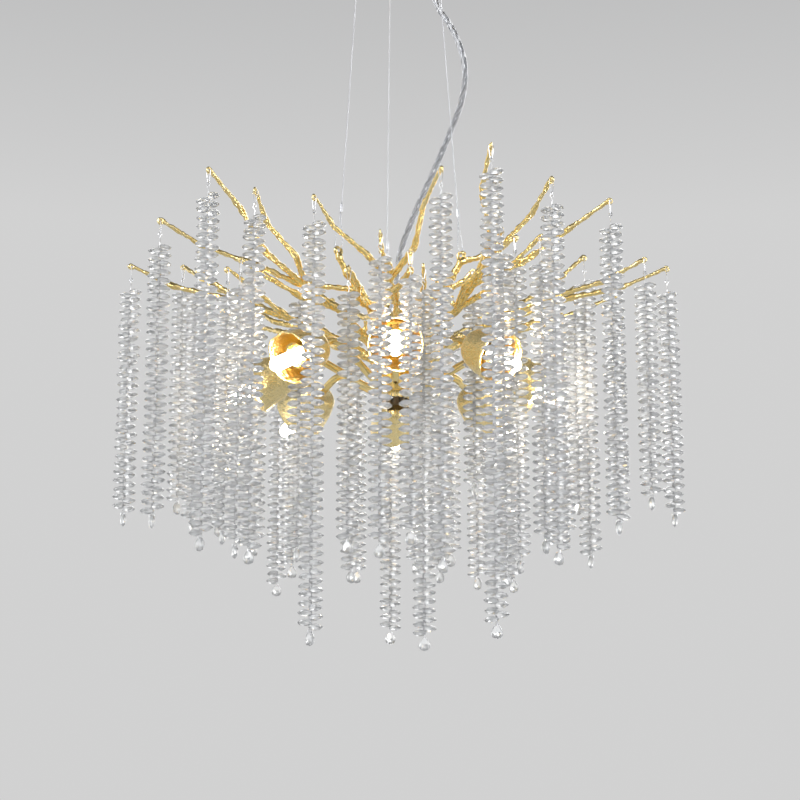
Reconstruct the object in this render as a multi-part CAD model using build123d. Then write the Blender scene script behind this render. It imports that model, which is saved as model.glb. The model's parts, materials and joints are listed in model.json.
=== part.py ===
from build123d import *
import math
import os
import random
from typing import NamedTuple

# Crystal chandelier hung on three wires: a gold twig crown with eight lamps and
# forty strands of drilled crystal beads. Millimetres, +Z up, origin in the
# middle of the face that meets the ceiling.

# ---------------------------------------------------------------- levels
LAMP_LEVEL = -555.0          # level of the ring of lamps below the ceiling
LAMPS = 8
OCTANT = 45.0
LAMP_STEP = 360.0 / LAMPS
CABLE_AZIMUTHS = (-143.0, -23.0, 97.0)

# ---------------------------------------------------------------- beads and strands
BEAD_HALF = 1.9              # half of a bead's thickness at its hole
BEAD_SWELL = 0.16            # how much each face rises per millimetre towards the wide end
BEAD_SLANT = 2.0             # how much a facet beside it rises per millimetre
BEAD_PITCH = 4.4
BEAD_OUTLINE = (             # pear outline about the drilled hole, one half
    (-2.0, 1.3), (6.0, 5.8), (10.4, 4.4), (12.2, 1.6),
)
BEAD_HOLE = 0.85             # corner radius of the hole
HOLE_SIDES = 6
BEAD_SWAY = 28.0             # beads point left and right in turn, give or take this angle
STRAND_SWAY = 25.0           # and so does the strand as a whole
WIRE = 0.45                  # corner radius of the six-sided silver wire
WIRE_SIDES = 6
STRAND_HEAD = 26.0           # from the middle of an eye to the first bead
CLIP_LENGTH = 13.0
CLIP_TOP = 2.4               # half width of the clip at the eye
CLIP_SHOULDER = 2.0          # straight height beside the eye
CLIP_FOOT = 1.0
LINK = 1.7                   # flats of the small link under the clip, from its middle
LINK_WIRE = 0.4
LOOP = 1.65                  # the same for the loop bent into the thread's top
KINK = ((1.4, 0.0), (3.0, 0.8), (4.6, 0.0))  # drop and offset of the thread's bend under its loop
TAIL_DROP = 0.6              # thread left below the stack
TAIL_LOOP = 3.4              # height of the loop that the last bead hangs in
TAIL_SPREAD = 1.2            # height in which that loop spreads
TAIL_END = 0.7               # how far below the stack the thread ends
RUB = 0.1                    # clearance where one wire rests in another
LOOSE = 0.3                  # clearance round the last bead

# ---------------------------------------------------------------- twigs
EYE = 2.4                    # middle radius of the ring at a twig's tip
EYE_WIRE = 1.0
LUG = 3.6                    # the larger ring a suspension cable is tied to
LUG_WIRE = 1.5
TRUNK = 4.6
FORK = 3.7
LIMB = 3.3
TIP = 2.0
KNUCKLE = 1.2                # a knot's thickness, as a share of the twig's
WAIST = 0.9                  # and that of the stretch between two knots
WAISTS = (0.3, 0.7)
TWIG_SIDES = 8
TRUNK_START = 9.0            # level run out of the collar
BUD = 4.0                    # a trunk ends this far past its last knot
BUD_TIP = 1.85
LIMB_KNOTS = ((0.36, 1.0, -4.0), (0.72, -0.4, -5.0))  # share of the way and of the bow, sag
SPUR = 13.0                  # length of the short side twigs
SPUR_ROOT = 2.6
SPUR_TURN = 60.0
SPUR_RUNS = ((0.6, 0.4), (0.2, 0.6))  # shares of its length, outward and up

# ---------------------------------------------------------------- hub
COLUMN = 8.0
COLUMN_TOP = 96.0            # above the lamp level
COLUMN_FOOT = -12.0
ARM_COLLAR = (16.0, 6.0, 22.0)       # half width across flats, foot, top
BOUGH_COLLAR = (15.0, 38.0, 54.0)
STEM_COLLAR = (13.0, 68.0, 84.0)
NUT = 13.0
NUT_TOOTH = 2.2
NUT_TEETH = 16
NUT_LEVEL = (-8.0, 0.0)
FINIAL = 10.0                # ball at the foot of the column
FINIAL_DROP = 5.0            # its middle below the column's foot
FINS = (21.0, 1.6, 24.0, 37.0)       # reach, thickness, foot and top of the upright fins

# ---------------------------------------------------------------- lamps
LAMP_TILT = 30.0             # the bulbs point outward and down
LAMP_RADIUS = 112.0          # where the back of a lamp sits
LAMP_HEIGHT = 33.4
ARM = 4.0
ARM_START = 14.0             # level run out of the collar
ARM_END = 30.0               # straight run into the back of the lamp
ARM_BEND = (20.0, 24.0)
SHADE_WALL = 1.2
SHADE_DEPTH = 44.0
SHADE_NECK = 14.0
SHADE_MOUTH = 28.0
SHADE_SHOULDER = (5.5, 5.0)  # how much wider than the neck, how far from the back
SHADE_BELLY = (4.5, 15.0)    # how much narrower than the mouth, how far from the back
SHADE_CHEEK = (1.5, 28.0)    # the same
SLEEVE = 12.5
SLEEVE_WALL = 1.0
SLEEVE_LENGTH = 34.0
LIP = 1.2                    # how far the rim of the sleeve is rolled out
LIP_BAND = 1.0               # straight height of the rolled rim
LIP_FLARE = 1.0              # height in which the wall widens to it
HOLDER = 9.0
HOLDER_LENGTH = 20.0
HOLDER_CHAMFER = 1.5
BULB = 7.0
BULB_LENGTH = 50.0
BULB_NECK = 5.0
BULB_NECK_LENGTH = 3.0
BULB_SHOULDER = 3.0          # length in which the neck widens to the bulb
BULB_STEPS = 6               # facets from the side of the bulb to its tip

# ---------------------------------------------------------------- canopy and suspension
CANOPY = 62.5
CANOPY_HEIGHT = 25.0
CANOPY_WALL = 1.2
BRACKET = (104.0, 22.0, 2.0)
BRACKET_HOLES = 70.0         # spacing of the two ceiling screws
BRACKET_HOLE = 2.5
STUD_SPACING = 92.0
STUD = 2.0
CAP_NUT = 4.5
CAP_NUT_HEIGHT = 8.0
GRIP_RADIUS = 49.0           # where the cables leave the canopy
GRIP = 4.0
GRIP_FLANGE = 6.5
GRIP_FLANGE_HEIGHT = 3.0
GRIP_LENGTH = 12.0           # below the canopy
GRIP_STEM = 3.0
GRIP_INSIDE = 8.0
GRIP_NUT = 5.5
GRIP_NUT_HEIGHT = 3.0
FREE_FIT = 0.1               # radial clearance of a stem in its hole
CUT = 1.0                    # how far a cutting tool reaches past what it cuts
CABLE = 0.6
LUG_RADIUS = 75.0            # where the cables meet the twigs
LUG_HEIGHT = 150.0
CABLE_LOOP = ((8.2, 11.5), (4.5, 1.4))  # corners of the loop beside and through the lug
CABLE_THROAT = (0.65, 32.0)
FERRULE = 1.9
FERRULE_SPAN = (43.0, 53.0)
CABLE_TAIL = 54.0
END_GAP = 0.05               # under a grip, since its cable leaves at a slant
BEND_SHARE = 0.45            # a bend takes up this share of the shorter run beside it
CORD = 3.25
CORD_STARTS = (41.0, 38.0)   # straight runs out of the upper gland and into the lower one
CORD_BOW = ((70.0, 18.0, -130.0), (80.0, 13.0, -190.0), (52.0, 7.0, -270.0), (14.0, 2.0, -360.0))
GLAND = 7.0
GLAND_NOSE = 5.0
GLAND_HEIGHT = 14.0
GLAND_FLANGE = 9.0
GLAND_FLANGE_HEIGHT = 3.0
GLAND_STEM = 5.0
CORD_EXIT = (38.0, 22.0)


class Strand(NamedTuple):
    azimuth: float           # degrees about the axis, 0 to the right, -90 to the front
    radius: float
    eye: float               # height of the eye above the lamp level
    beads: int


# In groups, anticlockwise from above, one for each bough or pair of boughs that carries them.
STRANDS = {
    # west
    "w1": Strand(180.0, 281.0, 148.0, 55),
    "w2": Strand(161.5, 246.0, 176.0, 54),
    "w3": Strand(174.0, 213.0, 152.0, 56),
    "w4": Strand(-160.0, 185.0, 122.0, 57),
    "w5": Strand(157.5, 162.0, 118.0, 52),
    # south west
    "sw1": Strand(-155.0, 265.0, 157.0, 64),
    "sw2": Strand(-130.5, 283.0, 171.0, 78),
    "sw3": Strand(-127.0, 232.0, 161.0, 77),
    "sw4": Strand(-143.0, 197.0, 112.0, 61),
    # south
    "s1": Strand(-113.0, 206.0, 152.0, 93),
    "s2": Strand(-94.2, 203.0, 110.0, 65),
    "s3": Strand(-85.8, 201.0, 92.0, 58),
    "s4": Strand(-79.5, 242.0, 162.0, 82),
    # south east
    "se1": Strand(-68.3, 253.0, 189.0, 102),
    "se2": Strand(-57.5, 197.0, 126.0, 73),
    "se3": Strand(-43.0, 200.0, 130.0, 65),
    "se4": Strand(-53.2, 257.0, 164.0, 79),
    "se5": Strand(-35.7, 266.0, 162.0, 69),
    # east
    "e1": Strand(-9.0, 264.0, 141.0, 52),
    "e2": Strand(2.4, 290.0, 150.0, 55),
    "e3": Strand(5.0, 203.0, 164.0, 68),
    "e4": Strand(17.0, 203.0, 144.0, 48),
    # north east
    "ne1": Strand(26.0, 270.0, 156.0, 50),
    "ne2": Strand(46.0, 273.0, 160.0, 51),
    "ne3": Strand(50.0, 200.0, 134.0, 60),
    # north
    "n1": Strand(69.6, 267.0, 168.0, 62),
    "n2": Strand(85.0, 273.0, 158.0, 54),
    "n3": Strand(99.6, 266.0, 165.0, 59),
    "n4": Strand(91.6, 203.0, 162.0, 77),
    "n5": Strand(71.0, 187.0, 142.0, 54),
    # north west
    "nw1": Strand(118.0, 286.0, 161.0, 62),
    "nw2": Strand(137.0, 269.0, 160.0, 50),
    "nw3": Strand(124.0, 203.0, 136.0, 56),
    # inner ones, on the three upright stems
    "i1": Strand(-157.5, 108.0, 122.0, 60),
    "i2": Strand(-112.0, 126.0, 104.0, 58),
    "i3": Strand(-68.5, 78.0, 122.0, 82),
    "i4": Strand(-22.5, 88.0, 130.0, 46),
    "i5": Strand(-24.5, 137.0, 159.0, 72),
    "i6": Strand(67.5, 125.0, 136.0, 60),
    "i7": Strand(112.5, 125.0, 136.0, 60),
}


class Limb(NamedTuple):
    strand: str
    knot: int                # the trunk knot it grows from
    bow: float               # sideways bow as a share of its length, + turns left


class Bough(NamedTuple):
    azimuth: float
    knots: tuple             # azimuth, radius and height of the trunk's knots
    limbs: tuple


BOUGHS = {
    "front_boughs": (
        Bough(
            -90.0,
            ((-92.0, 46.0, 58.0), (-88.0, 84.0, 74.0), (-93.0, 122.0, 88.0)),
            (Limb("s1", 2, 0.06), Limb("s2", 2, 0.05), Limb("s3", 1, -0.06), Limb("s4", 2, 0.06)),
        ),
        Bough(
            -45.0,
            ((-47.0, 46.0, 60.0), (-43.0, 84.0, 79.0), (-49.0, 122.0, 96.0)),
            (
                Limb("se1", 2, 0.08),
                Limb("se2", 1, -0.06),
                Limb("se3", 1, 0.05),
                Limb("se4", 2, -0.04),
                Limb("se5", 2, 0.05),
            ),
        ),
    ),
    "right_boughs": (
        Bough(
            0.0,
            ((-2.0, 46.0, 60.0), (3.0, 84.0, 78.0), (-2.0, 124.0, 95.0)),
            (Limb("e1", 2, -0.04), Limb("e2", 2, -0.05), Limb("e3", 1, -0.05), Limb("e4", 1, 0.05)),
        ),
        Bough(
            45.0,
            ((42.0, 46.0, 60.0), (47.0, 84.0, 78.0), (40.0, 122.0, 96.0)),
            (Limb("ne1", 2, -0.05), Limb("ne2", 2, 0.05), Limb("ne3", 1, 0.06)),
        ),
    ),
    "back_boughs": (
        Bough(
            90.0,
            ((92.0, 46.0, 60.0), (87.0, 84.0, 78.0), (92.0, 122.0, 96.0)),
            (
                Limb("n1", 2, -0.05),
                Limb("n2", 2, -0.15),
                Limb("n3", 2, 0.06),
                Limb("n4", 2, 0.0),
                Limb("n5", 1, 0.05),
            ),
        ),
        Bough(
            135.0,
            ((133.0, 46.0, 60.0), (138.0, 84.0, 78.0), (131.0, 122.0, 96.0)),
            (Limb("nw1", 2, -0.09), Limb("nw2", 2, 0.05), Limb("nw3", 1, -0.05)),
        ),
    ),
    "left_boughs": (
        Bough(
            180.0,
            ((178.0, 46.0, 60.0), (-177.0, 84.0, 78.0), (178.0, 122.0, 95.0)),
            (
                Limb("w1", 2, 0.06),
                Limb("w2", 2, -0.05),
                Limb("w3", 2, 0.05),
                Limb("w4", 1, -0.06),
                Limb("w5", 1, -0.05),
            ),
        ),
        Bough(
            -135.0,
            ((-137.0, 46.0, 60.0), (-132.0, 84.0, 78.0), (-138.0, 122.0, 96.0)),
            (
                Limb("sw1", 2, 0.05),
                Limb("sw2", 2, -0.06),
                Limb("sw3", 2, 0.07),
                Limb("sw4", 1, -0.05),
            ),
        ),
    ),
}

# The three upright stems, with the knots below their lugs.
STEM_KNOTS = ((30.0, 92.0), (46.0, 112.0), (64.0, 128.0), (74.0, 143.0))
STEMS = (
    Bough(CABLE_AZIMUTHS[0], STEM_KNOTS, (Limb("i1", 1, 0.06), Limb("i2", 0, -0.06))),
    Bough(
        CABLE_AZIMUTHS[1],
        STEM_KNOTS,
        (Limb("i3", 0, -0.06), Limb("i4", 1, 0.0), Limb("i5", 3, 0.0)),
    ),
    Bough(CABLE_AZIMUTHS[2], STEM_KNOTS, (Limb("i6", 1, -0.06), Limb("i7", 1, 0.06))),
)


# ---------------------------------------------------------------- helpers
def polar(azimuth, radius, height):
    """Point at an azimuth and radius about the axis, with its height above the lamp level."""
    a = math.radians(azimuth)
    return Vector(radius * math.cos(a), radius * math.sin(a), LAMP_LEVEL + height)


def heading(vector):
    return math.degrees(math.atan2(vector.Y, vector.X))


def facet(points):
    return Face(Wire.make_polygon(points, close=True))


def mitres(outline):
    """How far each corner moves when every edge moves inward by one, parallel to itself."""
    moves = []
    count = len(outline)
    for i in range(count):
        before, here, after = outline[i - 1], outline[i], outline[(i + 1) % count]
        ax, ay = here[0] - before[0], here[1] - before[1]
        bx, by = after[0] - here[0], after[1] - here[1]
        la, lb = math.hypot(ax, ay), math.hypot(bx, by)
        ax, ay, bx, by = ax / la, ay / la, bx / lb, by / lb
        share = 1.0 / (1.0 + ax * bx + ay * by)
        moves.append((-share * (ay + by), share * (ax + bx)))
    return moves


def flat_wire(points, corner_radius, sides, closed):
    """Wire with an even-sided section along straight runs, mitred at each bend, all faces flat."""
    count = len(points)
    runs = [
        (points[(i + 1) % count] - points[i]).normalized()
        for i in range(count if closed else count - 1)
    ]
    plane = Plane(origin=(points[0] + points[1]) * 0.5, z_dir=runs[0])
    ring = [
        plane.from_local_coords(
            Vector(
                corner_radius * math.cos(2 * math.pi * (k + 0.5) / sides),
                corner_radius * math.sin(2 * math.pi * (k + 0.5) / sides),
                0,
            )
        )
        for k in range(sides)
    ]

    def slide(corners, along, corner, normal):
        return [p + along * ((corner - p).dot(normal) / along.dot(normal)) for p in corners]

    if closed:
        stations = []
        for i in range(1, count + 1):
            normal = (runs[i - 1] + runs[i % count]).normalized()
            ring = slide(ring, runs[i - 1], points[i % count], normal)
            stations.append(ring)
        pairs = [(stations[i - 1], stations[i]) for i in range(count)]
        faces = []
    else:
        stations = [slide(ring, runs[0], points[0], runs[0])]
        for i in range(1, count - 1):
            normal = (runs[i - 1] + runs[i]).normalized()
            stations.append(slide(stations[-1], runs[i - 1], points[i], normal))
        stations.append(slide(stations[-1], runs[-1], points[-1], runs[-1]))
        pairs = list(zip(stations, stations[1:]))
        faces = [facet(stations[0]), facet(stations[-1])]
    for near, far in pairs:
        for k in range(sides):
            after = (k + 1) % sides
            faces.append(facet([near[k], near[after], far[after], far[k]]))
    return Solid(Shell(faces))


def octagon(apothem, centre, across, up, first, count):
    """Corners of an octagon in the plane of two directions, counted round from an angle."""
    radius = apothem / math.cos(math.pi / 8)
    corners = []
    for k in range(count):
        a = math.radians(first + OCTANT * k)
        corners.append(centre + across * (radius * math.cos(a)) + up * (radius * math.sin(a)))
    return corners


# ---------------------------------------------------------------- strands
def bead():
    """Pear-shaped crystal that swells to its wide end, faceted on both sides and drilled."""
    outline = [(x, -y) for x, y in BEAD_OUTLINE] + [(x, y) for x, y in reversed(BEAD_OUTLINE)]
    middle = [Vector(x, y, 0) for x, y in outline]
    hole = []
    for k in range(HOLE_SIDES):
        a = 2 * math.pi * k / HOLE_SIDES
        hole.append((BEAD_HOLE * math.cos(a), BEAD_HOLE * math.sin(a)))
    faces = []
    rims = []
    for side in (1, -1):
        edge = []
        for (x, y), (along, across) in zip(outline, mitres(outline)):
            inward = (BEAD_HALF + BEAD_SWELL * x) / (BEAD_SLANT - BEAD_SWELL * along)
            edge.append(Vector(x + inward * along, y + inward * across, side * inward * BEAD_SLANT))
        rim = [Vector(x, y, side * (BEAD_HALF + BEAD_SWELL * x)) for x, y in hole]
        rims.append(rim)
        faces.append(Face(Wire.make_polygon(edge, close=True), [Wire.make_polygon(rim, close=True)]))
        for i in range(len(edge)):
            faces.append(facet([middle[i - 1], middle[i], edge[i], edge[i - 1]]))
    over, under = rims
    for i in range(HOLE_SIDES):
        faces.append(facet([over[i - 1], over[i], under[i], under[i - 1]]))
    return Solid(Shell(faces))


def bar_drop():
    """How far below the middle of an eye the clip's bar rests."""
    return EYE - EYE_WIRE - WIRE - RUB


def strand_parts(beads, number, line):
    """Clip, link, thread and beads of one strand; the clip's bar is the origin, along Y.

    The beads point to both sides of a line at the given angle.
    """
    out, side, up = Vector(1, 0, 0), Vector(0, 1, 0), Vector(0, 0, 1)
    foot = -CLIP_LENGTH
    clip = [
        side * -CLIP_TOP,
        side * CLIP_TOP,
        side * CLIP_TOP - up * CLIP_SHOULDER,
        side * CLIP_FOOT + up * foot,
        side * -CLIP_FOOT + up * foot,
        side * -CLIP_TOP - up * CLIP_SHOULDER,
    ]
    link_z = foot - (LINK - LINK_WIRE - WIRE - RUB)
    link = octagon(LINK, up * link_z, out, up, OCTANT / 2, 8)
    loop_z = link_z - LINK + LINK_WIRE + RUB + WIRE - LOOP
    thread = octagon(LOOP, up * loop_z, side, up, -OCTANT / 2, 7)
    for drop, offset in KINK:
        thread.append(up * (loop_z - LOOP - drop) + side * offset)

    head = bar_drop() - STRAND_HEAD
    stack_foot = head - BEAD_PITCH * beads
    stem = stack_foot - TAIL_DROP
    hook = BEAD_HALF + WIRE + LOOSE
    hole_z = stem - TAIL_LOOP
    thread.append(up * stem)
    thread.append(up * (stem - TAIL_SPREAD) + out * hook)
    thread.append(up * hole_z + out * hook)
    thread.append(up * hole_z - out * hook)
    thread.append(up * (stem - TAIL_SPREAD) - out * hook)
    thread.append(up * (stem - TAIL_END) - out * (2 * WIRE + LOOSE))

    parts = [
        flat_wire(clip, WIRE, WIRE_SIDES, True),
        flat_wire(link, LINK_WIRE, WIRE_SIDES, True),
        flat_wire(thread, WIRE, WIRE_SIDES, False),
    ]
    chance = random.Random(number)
    line += chance.uniform(-STRAND_SWAY, STRAND_SWAY)
    crystal = bead()
    for i in range(beads):
        turn = line + 180.0 * (i % 2) + chance.uniform(-BEAD_SWAY, BEAD_SWAY)
        z = head - BEAD_PITCH * (i + 0.5)
        parts.append(crystal.moved(Location((0, 0, z), (0, 0, turn))))
    parts.append(crystal.moved(Location((0, 0, hole_z), (0, 90, 0))))
    return parts


# ---------------------------------------------------------------- twigs
def eye_point(name):
    spot = STRANDS[name]
    return polar(spot.azimuth, spot.radius, spot.eye)


def trunk_route(bough, collar):
    """Points of a trunk from the flat of its collar to its last knot."""
    half, foot, top = collar
    level = (foot + top) / 2
    points = [polar(bough.azimuth, half, level), polar(bough.azimuth, half + TRUNK_START, level)]
    for knot in bough.knots:
        if len(knot) == 3:
            points.append(polar(*knot))
        else:
            points.append(polar(bough.azimuth, *knot))
    return points


def limb_route(start, limb):
    """Points of a limb from a trunk knot to the ring it carries, bowed sideways and sagging a little."""
    end = eye_point(limb.strand)
    span = end - start
    flat = Vector(-span.Y, span.X, 0)
    points = [start]
    for share, bow, sag in LIMB_KNOTS:
        points.append(start + span * share + flat * limb.bow * bow + Vector(0, 0, sag))
    last = points[-1]
    inward = Vector(last.X - end.X, last.Y - end.Y, 0).normalized()
    return points + [end + inward * EYE]


def limb_of(name):
    """The limb that carries a strand and the point where it starts."""
    for boughs in BOUGHS.values():
        for bough in boughs:
            for limb in bough.limbs:
                if limb.strand == name:
                    return limb, trunk_route(bough, BOUGH_COLLAR)[limb.knot + 2]
    for stem in STEMS:
        for limb in stem.limbs:
            if limb.strand == name:
                return limb, trunk_route(stem, STEM_COLLAR)[limb.knot + 2]
    raise ValueError(name)


def eye_heading(name):
    """Direction in which a twig points where it carries an eye."""
    limb, start = limb_of(name)
    route = limb_route(start, limb)
    return heading(route[-1] - route[-2])


def twig(points, first_radius, last_radius):
    """Tapering eight-sided twig along straight runs: swollen at its knots, waisted between them."""
    lengths = [0.0]
    for near, far in zip(points, points[1:]):
        lengths.append(lengths[-1] + (far - near).length)

    def radius_at(length):
        return first_radius + (last_radius - first_radius) * length / lengths[-1]

    stations = [(points[0], first_radius)]
    for i in range(1, len(points)):
        near, far = points[i - 1], points[i]
        for share in WAISTS:
            length = lengths[i - 1] + (lengths[i] - lengths[i - 1]) * share
            stations.append((near + (far - near) * share, radius_at(length) * WAIST))
        last = i == len(points) - 1
        stations.append((far, radius_at(lengths[i]) * (1.0 if last else KNUCKLE)))
    return tapered(stations)


def tapered(stations):
    """Closed solid through (middle, radius) stations, each run cut from a pyramid with flat sides."""
    count = len(stations)
    runs = [(stations[i + 1][0] - stations[i][0]).normalized() for i in range(count - 1)]
    plane = Plane(origin=stations[0][0], z_dir=runs[0])
    ring = []
    for k in range(TWIG_SIDES):
        a = 2 * math.pi * (k + 0.5) / TWIG_SIDES
        corner = Vector(math.cos(a), math.sin(a), 0) * stations[0][1]
        ring.append(plane.from_local_coords(corner))
    rings = [ring]
    for i in range(1, count):
        (near, wide), (far, narrow) = stations[i - 1], stations[i]
        along = runs[i - 1]
        normal = along if i == count - 1 else (along + runs[i]).normalized()
        length = (far - near).length
        if abs(wide - narrow) < 1e-6:
            moved = [p + along * ((far - p).dot(normal) / along.dot(normal)) for p in rings[-1]]
        else:
            apex = near + along * (length * wide / (wide - narrow))
            reach = (far - apex).dot(normal)
            moved = [apex + (p - apex) * (reach / (p - apex).dot(normal)) for p in rings[-1]]
        rings.append(moved)
    faces = [facet(rings[0]), facet(rings[-1])]
    for near, far in zip(rings, rings[1:]):
        for k in range(TWIG_SIDES):
            after = (k + 1) % TWIG_SIDES
            faces.append(facet([near[k], near[after], far[after], far[k]]))
    return Solid(Shell(faces))


def ring_at(point, direction, middle, wire):
    """Upright eight-sided ring whose plane holds the given direction."""
    a = math.radians(direction)
    across = Vector(math.cos(a), math.sin(a), 0)
    corners = octagon(middle, point, across, Vector(0, 0, 1), OCTANT / 2, 8)
    return flat_wire(corners, wire, TWIG_SIDES, True)


def grown(bough, collar):
    """One casting: a trunk with short spurs, its limbs and the rings at their tips."""
    route = trunk_route(bough, collar)
    bud = (route[-1] - route[-2]).normalized() * BUD
    parts = [twig(route, TRUNK, FORK)]
    parts.append(tapered([(route[-1], FORK * KNUCKLE), (route[-1] + bud, BUD_TIP)]))
    for limb in bough.limbs:
        points = limb_route(route[limb.knot + 2], limb)
        parts.append(twig(points, LIMB, TIP))
        parts.append(ring_at(eye_point(limb.strand), eye_heading(limb.strand), EYE, EYE_WIRE))
    for side, knot in ((1, route[2]), (-1, route[3])):
        a = math.radians(bough.azimuth + side * SPUR_TURN)
        lean = Vector(math.cos(a), math.sin(a), 0)
        points = [knot]
        for outward, rise in SPUR_RUNS:
            points.append(points[-1] + (lean * outward + Vector(0, 0, rise)) * SPUR)
        parts.append(twig(points, SPUR_ROOT, TIP))
    return parts


def fused(parts):
    whole = Part() + parts
    return whole.solid() if len(whole.solids()) == 1 else whole


# ---------------------------------------------------------------- hub parts
def prism(sides, half, foot, top, azimuth):
    """Upright prism with flats at a half width from the axis, one of them facing the azimuth."""
    corner = half / math.cos(math.pi / sides)
    ring = [
        (
            corner * math.cos(math.radians(azimuth) + math.pi * (2 * k + 1) / sides),
            corner * math.sin(math.radians(azimuth) + math.pi * (2 * k + 1) / sides),
        )
        for k in range(sides)
    ]
    face = facet([Vector(x, y, LAMP_LEVEL + foot) for x, y in ring])
    return extrude(face, amount=top - foot, dir=(0, 0, 1))


def upright(radius, foot, top, x=0.0, y=0.0):
    """Upright round bar between two heights above the origin."""
    return Solid.make_cylinder(radius, top - foot, Plane(origin=(x, y, foot)))


def hub_column():
    """Turned column with a faceted collar for each tier, upright fins and a ball at its foot."""
    parts = [upright(COLUMN, LAMP_LEVEL + COLUMN_FOOT, LAMP_LEVEL + COLUMN_TOP)]
    half, foot, top = ARM_COLLAR
    parts.append(prism(LAMPS, half, foot, top, 0.0))
    half, foot, top = BOUGH_COLLAR
    parts.append(prism(LAMPS, half, foot, top, 0.0))
    half, foot, top = STEM_COLLAR
    parts.append(prism(2 * len(STEMS), half, foot, top, CABLE_AZIMUTHS[0]))
    ball = Location((0, 0, LAMP_LEVEL + COLUMN_FOOT - FINIAL_DROP))
    parts.append(Solid.make_sphere(FINIAL).moved(ball))
    reach, thick, foot, top = FINS
    for k in range(LAMPS):
        fin = Solid.make_box(
            reach, thick, top - foot, Plane(origin=(0, -thick / 2, LAMP_LEVEL + foot))
        )
        parts.append(fin.rotate(Axis.Z, LAMP_STEP * (k + 0.5)))
    return fused(parts)


def hub_nut():
    """Dark toothed ring nut round the foot of the column."""
    foot, top = (LAMP_LEVEL + level for level in NUT_LEVEL)
    ring = []
    for k in range(2 * NUT_TEETH):
        a = math.pi * k / NUT_TEETH
        reach = NUT + (NUT_TOOTH if k % 2 else 0.0)
        ring.append(Vector(reach * math.cos(a), reach * math.sin(a), foot))
    body = extrude(facet(ring), amount=top - foot, dir=(0, 0, 1))
    return body - upright(COLUMN, foot - CUT, top + CUT)


# ---------------------------------------------------------------- lamps
def lamp_frame():
    """Plane at the back of the lamp on the +X side, with its Z along the bulb."""
    tilt = math.radians(LAMP_TILT)
    return Plane(
        origin=polar(0.0, LAMP_RADIUS, LAMP_HEIGHT),
        x_dir=(0, 1, 0),
        z_dir=(math.cos(tilt), 0, -math.sin(tilt)),
    )


def turned(profile):
    """Solid turned about the bulb's line from (radius, distance) pairs."""
    face = Face(Wire.make_polygon([Vector(r, 0, s) for r, s in profile], close=True))
    return revolve(face, Axis.Z)


def eight_lamps(piece):
    """The same piece in each lamp round the axis."""
    whole = piece.solid() if hasattr(piece, "solid") and len(piece.solids()) == 1 else piece
    placed = whole.moved(lamp_frame().location)
    return [placed.rotate(Axis.Z, LAMP_STEP * k) for k in range(LAMPS)]


def lamp_arm():
    """Bent tube from the collar to the back of a lamp."""
    tilt = math.radians(LAMP_TILT)
    half, foot, top = ARM_COLLAR
    level = (foot + top) / 2
    back = Vector(LAMP_RADIUS, 0, LAMP_LEVEL + LAMP_HEIGHT)
    knee = back - Vector(math.cos(tilt), 0, -math.sin(tilt)) * ARM_END
    points = [
        Vector(half, 0, LAMP_LEVEL + level),
        Vector(half + ARM_START, 0, LAMP_LEVEL + level),
        knee,
        back,
    ]
    path = FilletPolyline(*points, radius=list(ARM_BEND))
    return sweep(Plane(origin=points[0], z_dir=(1, 0, 0)) * Circle(ARM), path=path)


def lamp_shade():
    """Thin bowl that opens round the bulb."""
    wall = SHADE_WALL
    outer = [
        (SHADE_NECK, 0.0),
        (SHADE_NECK + SHADE_SHOULDER[0], SHADE_SHOULDER[1]),
        (SHADE_MOUTH - SHADE_BELLY[0], SHADE_BELLY[1]),
        (SHADE_MOUTH - SHADE_CHEEK[0], SHADE_CHEEK[1]),
        (SHADE_MOUTH, SHADE_DEPTH),
    ]
    inner = [(r - wall, max(s, wall)) for r, s in reversed(outer)]
    return turned([(0.0, 0.0)] + outer + inner + [(0.0, wall)])


def lamp_sleeve():
    """Straight-sided cup with a rolled lip, standing on the floor of the shade."""
    foot = SHADE_WALL
    rim = foot + SLEEVE_LENGTH
    inner = SLEEVE - SLEEVE_WALL
    return turned(
        [
            (0.0, foot),
            (SLEEVE, foot),
            (SLEEVE, rim - LIP_BAND - LIP_FLARE),
            (SLEEVE + LIP, rim - LIP_BAND),
            (SLEEVE + LIP, rim),
            (inner, rim),
            (inner, foot + SLEEVE_WALL),
            (0.0, foot + SLEEVE_WALL),
        ]
    )


def lamp_holder():
    foot = SHADE_WALL + SLEEVE_WALL
    return turned(
        [
            (0.0, foot),
            (HOLDER, foot),
            (HOLDER, foot + HOLDER_LENGTH - HOLDER_CHAMFER),
            (HOLDER - HOLDER_CHAMFER, foot + HOLDER_LENGTH),
            (0.0, foot + HOLDER_LENGTH),
        ]
    )


def lamp_bulb():
    """Capsule bulb standing on its holder, with a round tip."""
    foot = SHADE_WALL + SLEEVE_WALL + HOLDER_LENGTH
    shoulder = foot + BULB_NECK_LENGTH
    profile = [(0.0, foot), (BULB_NECK, foot), (BULB_NECK, shoulder), (BULB, shoulder + BULB_SHOULDER)]
    centre = foot + BULB_LENGTH - BULB
    for k in range(BULB_STEPS + 1):
        a = math.pi / 2 * k / BULB_STEPS
        profile.append((BULB * math.cos(a), centre + BULB * math.sin(a)))
    profile[-1] = (0.0, foot + BULB_LENGTH)
    return turned(profile)


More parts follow.
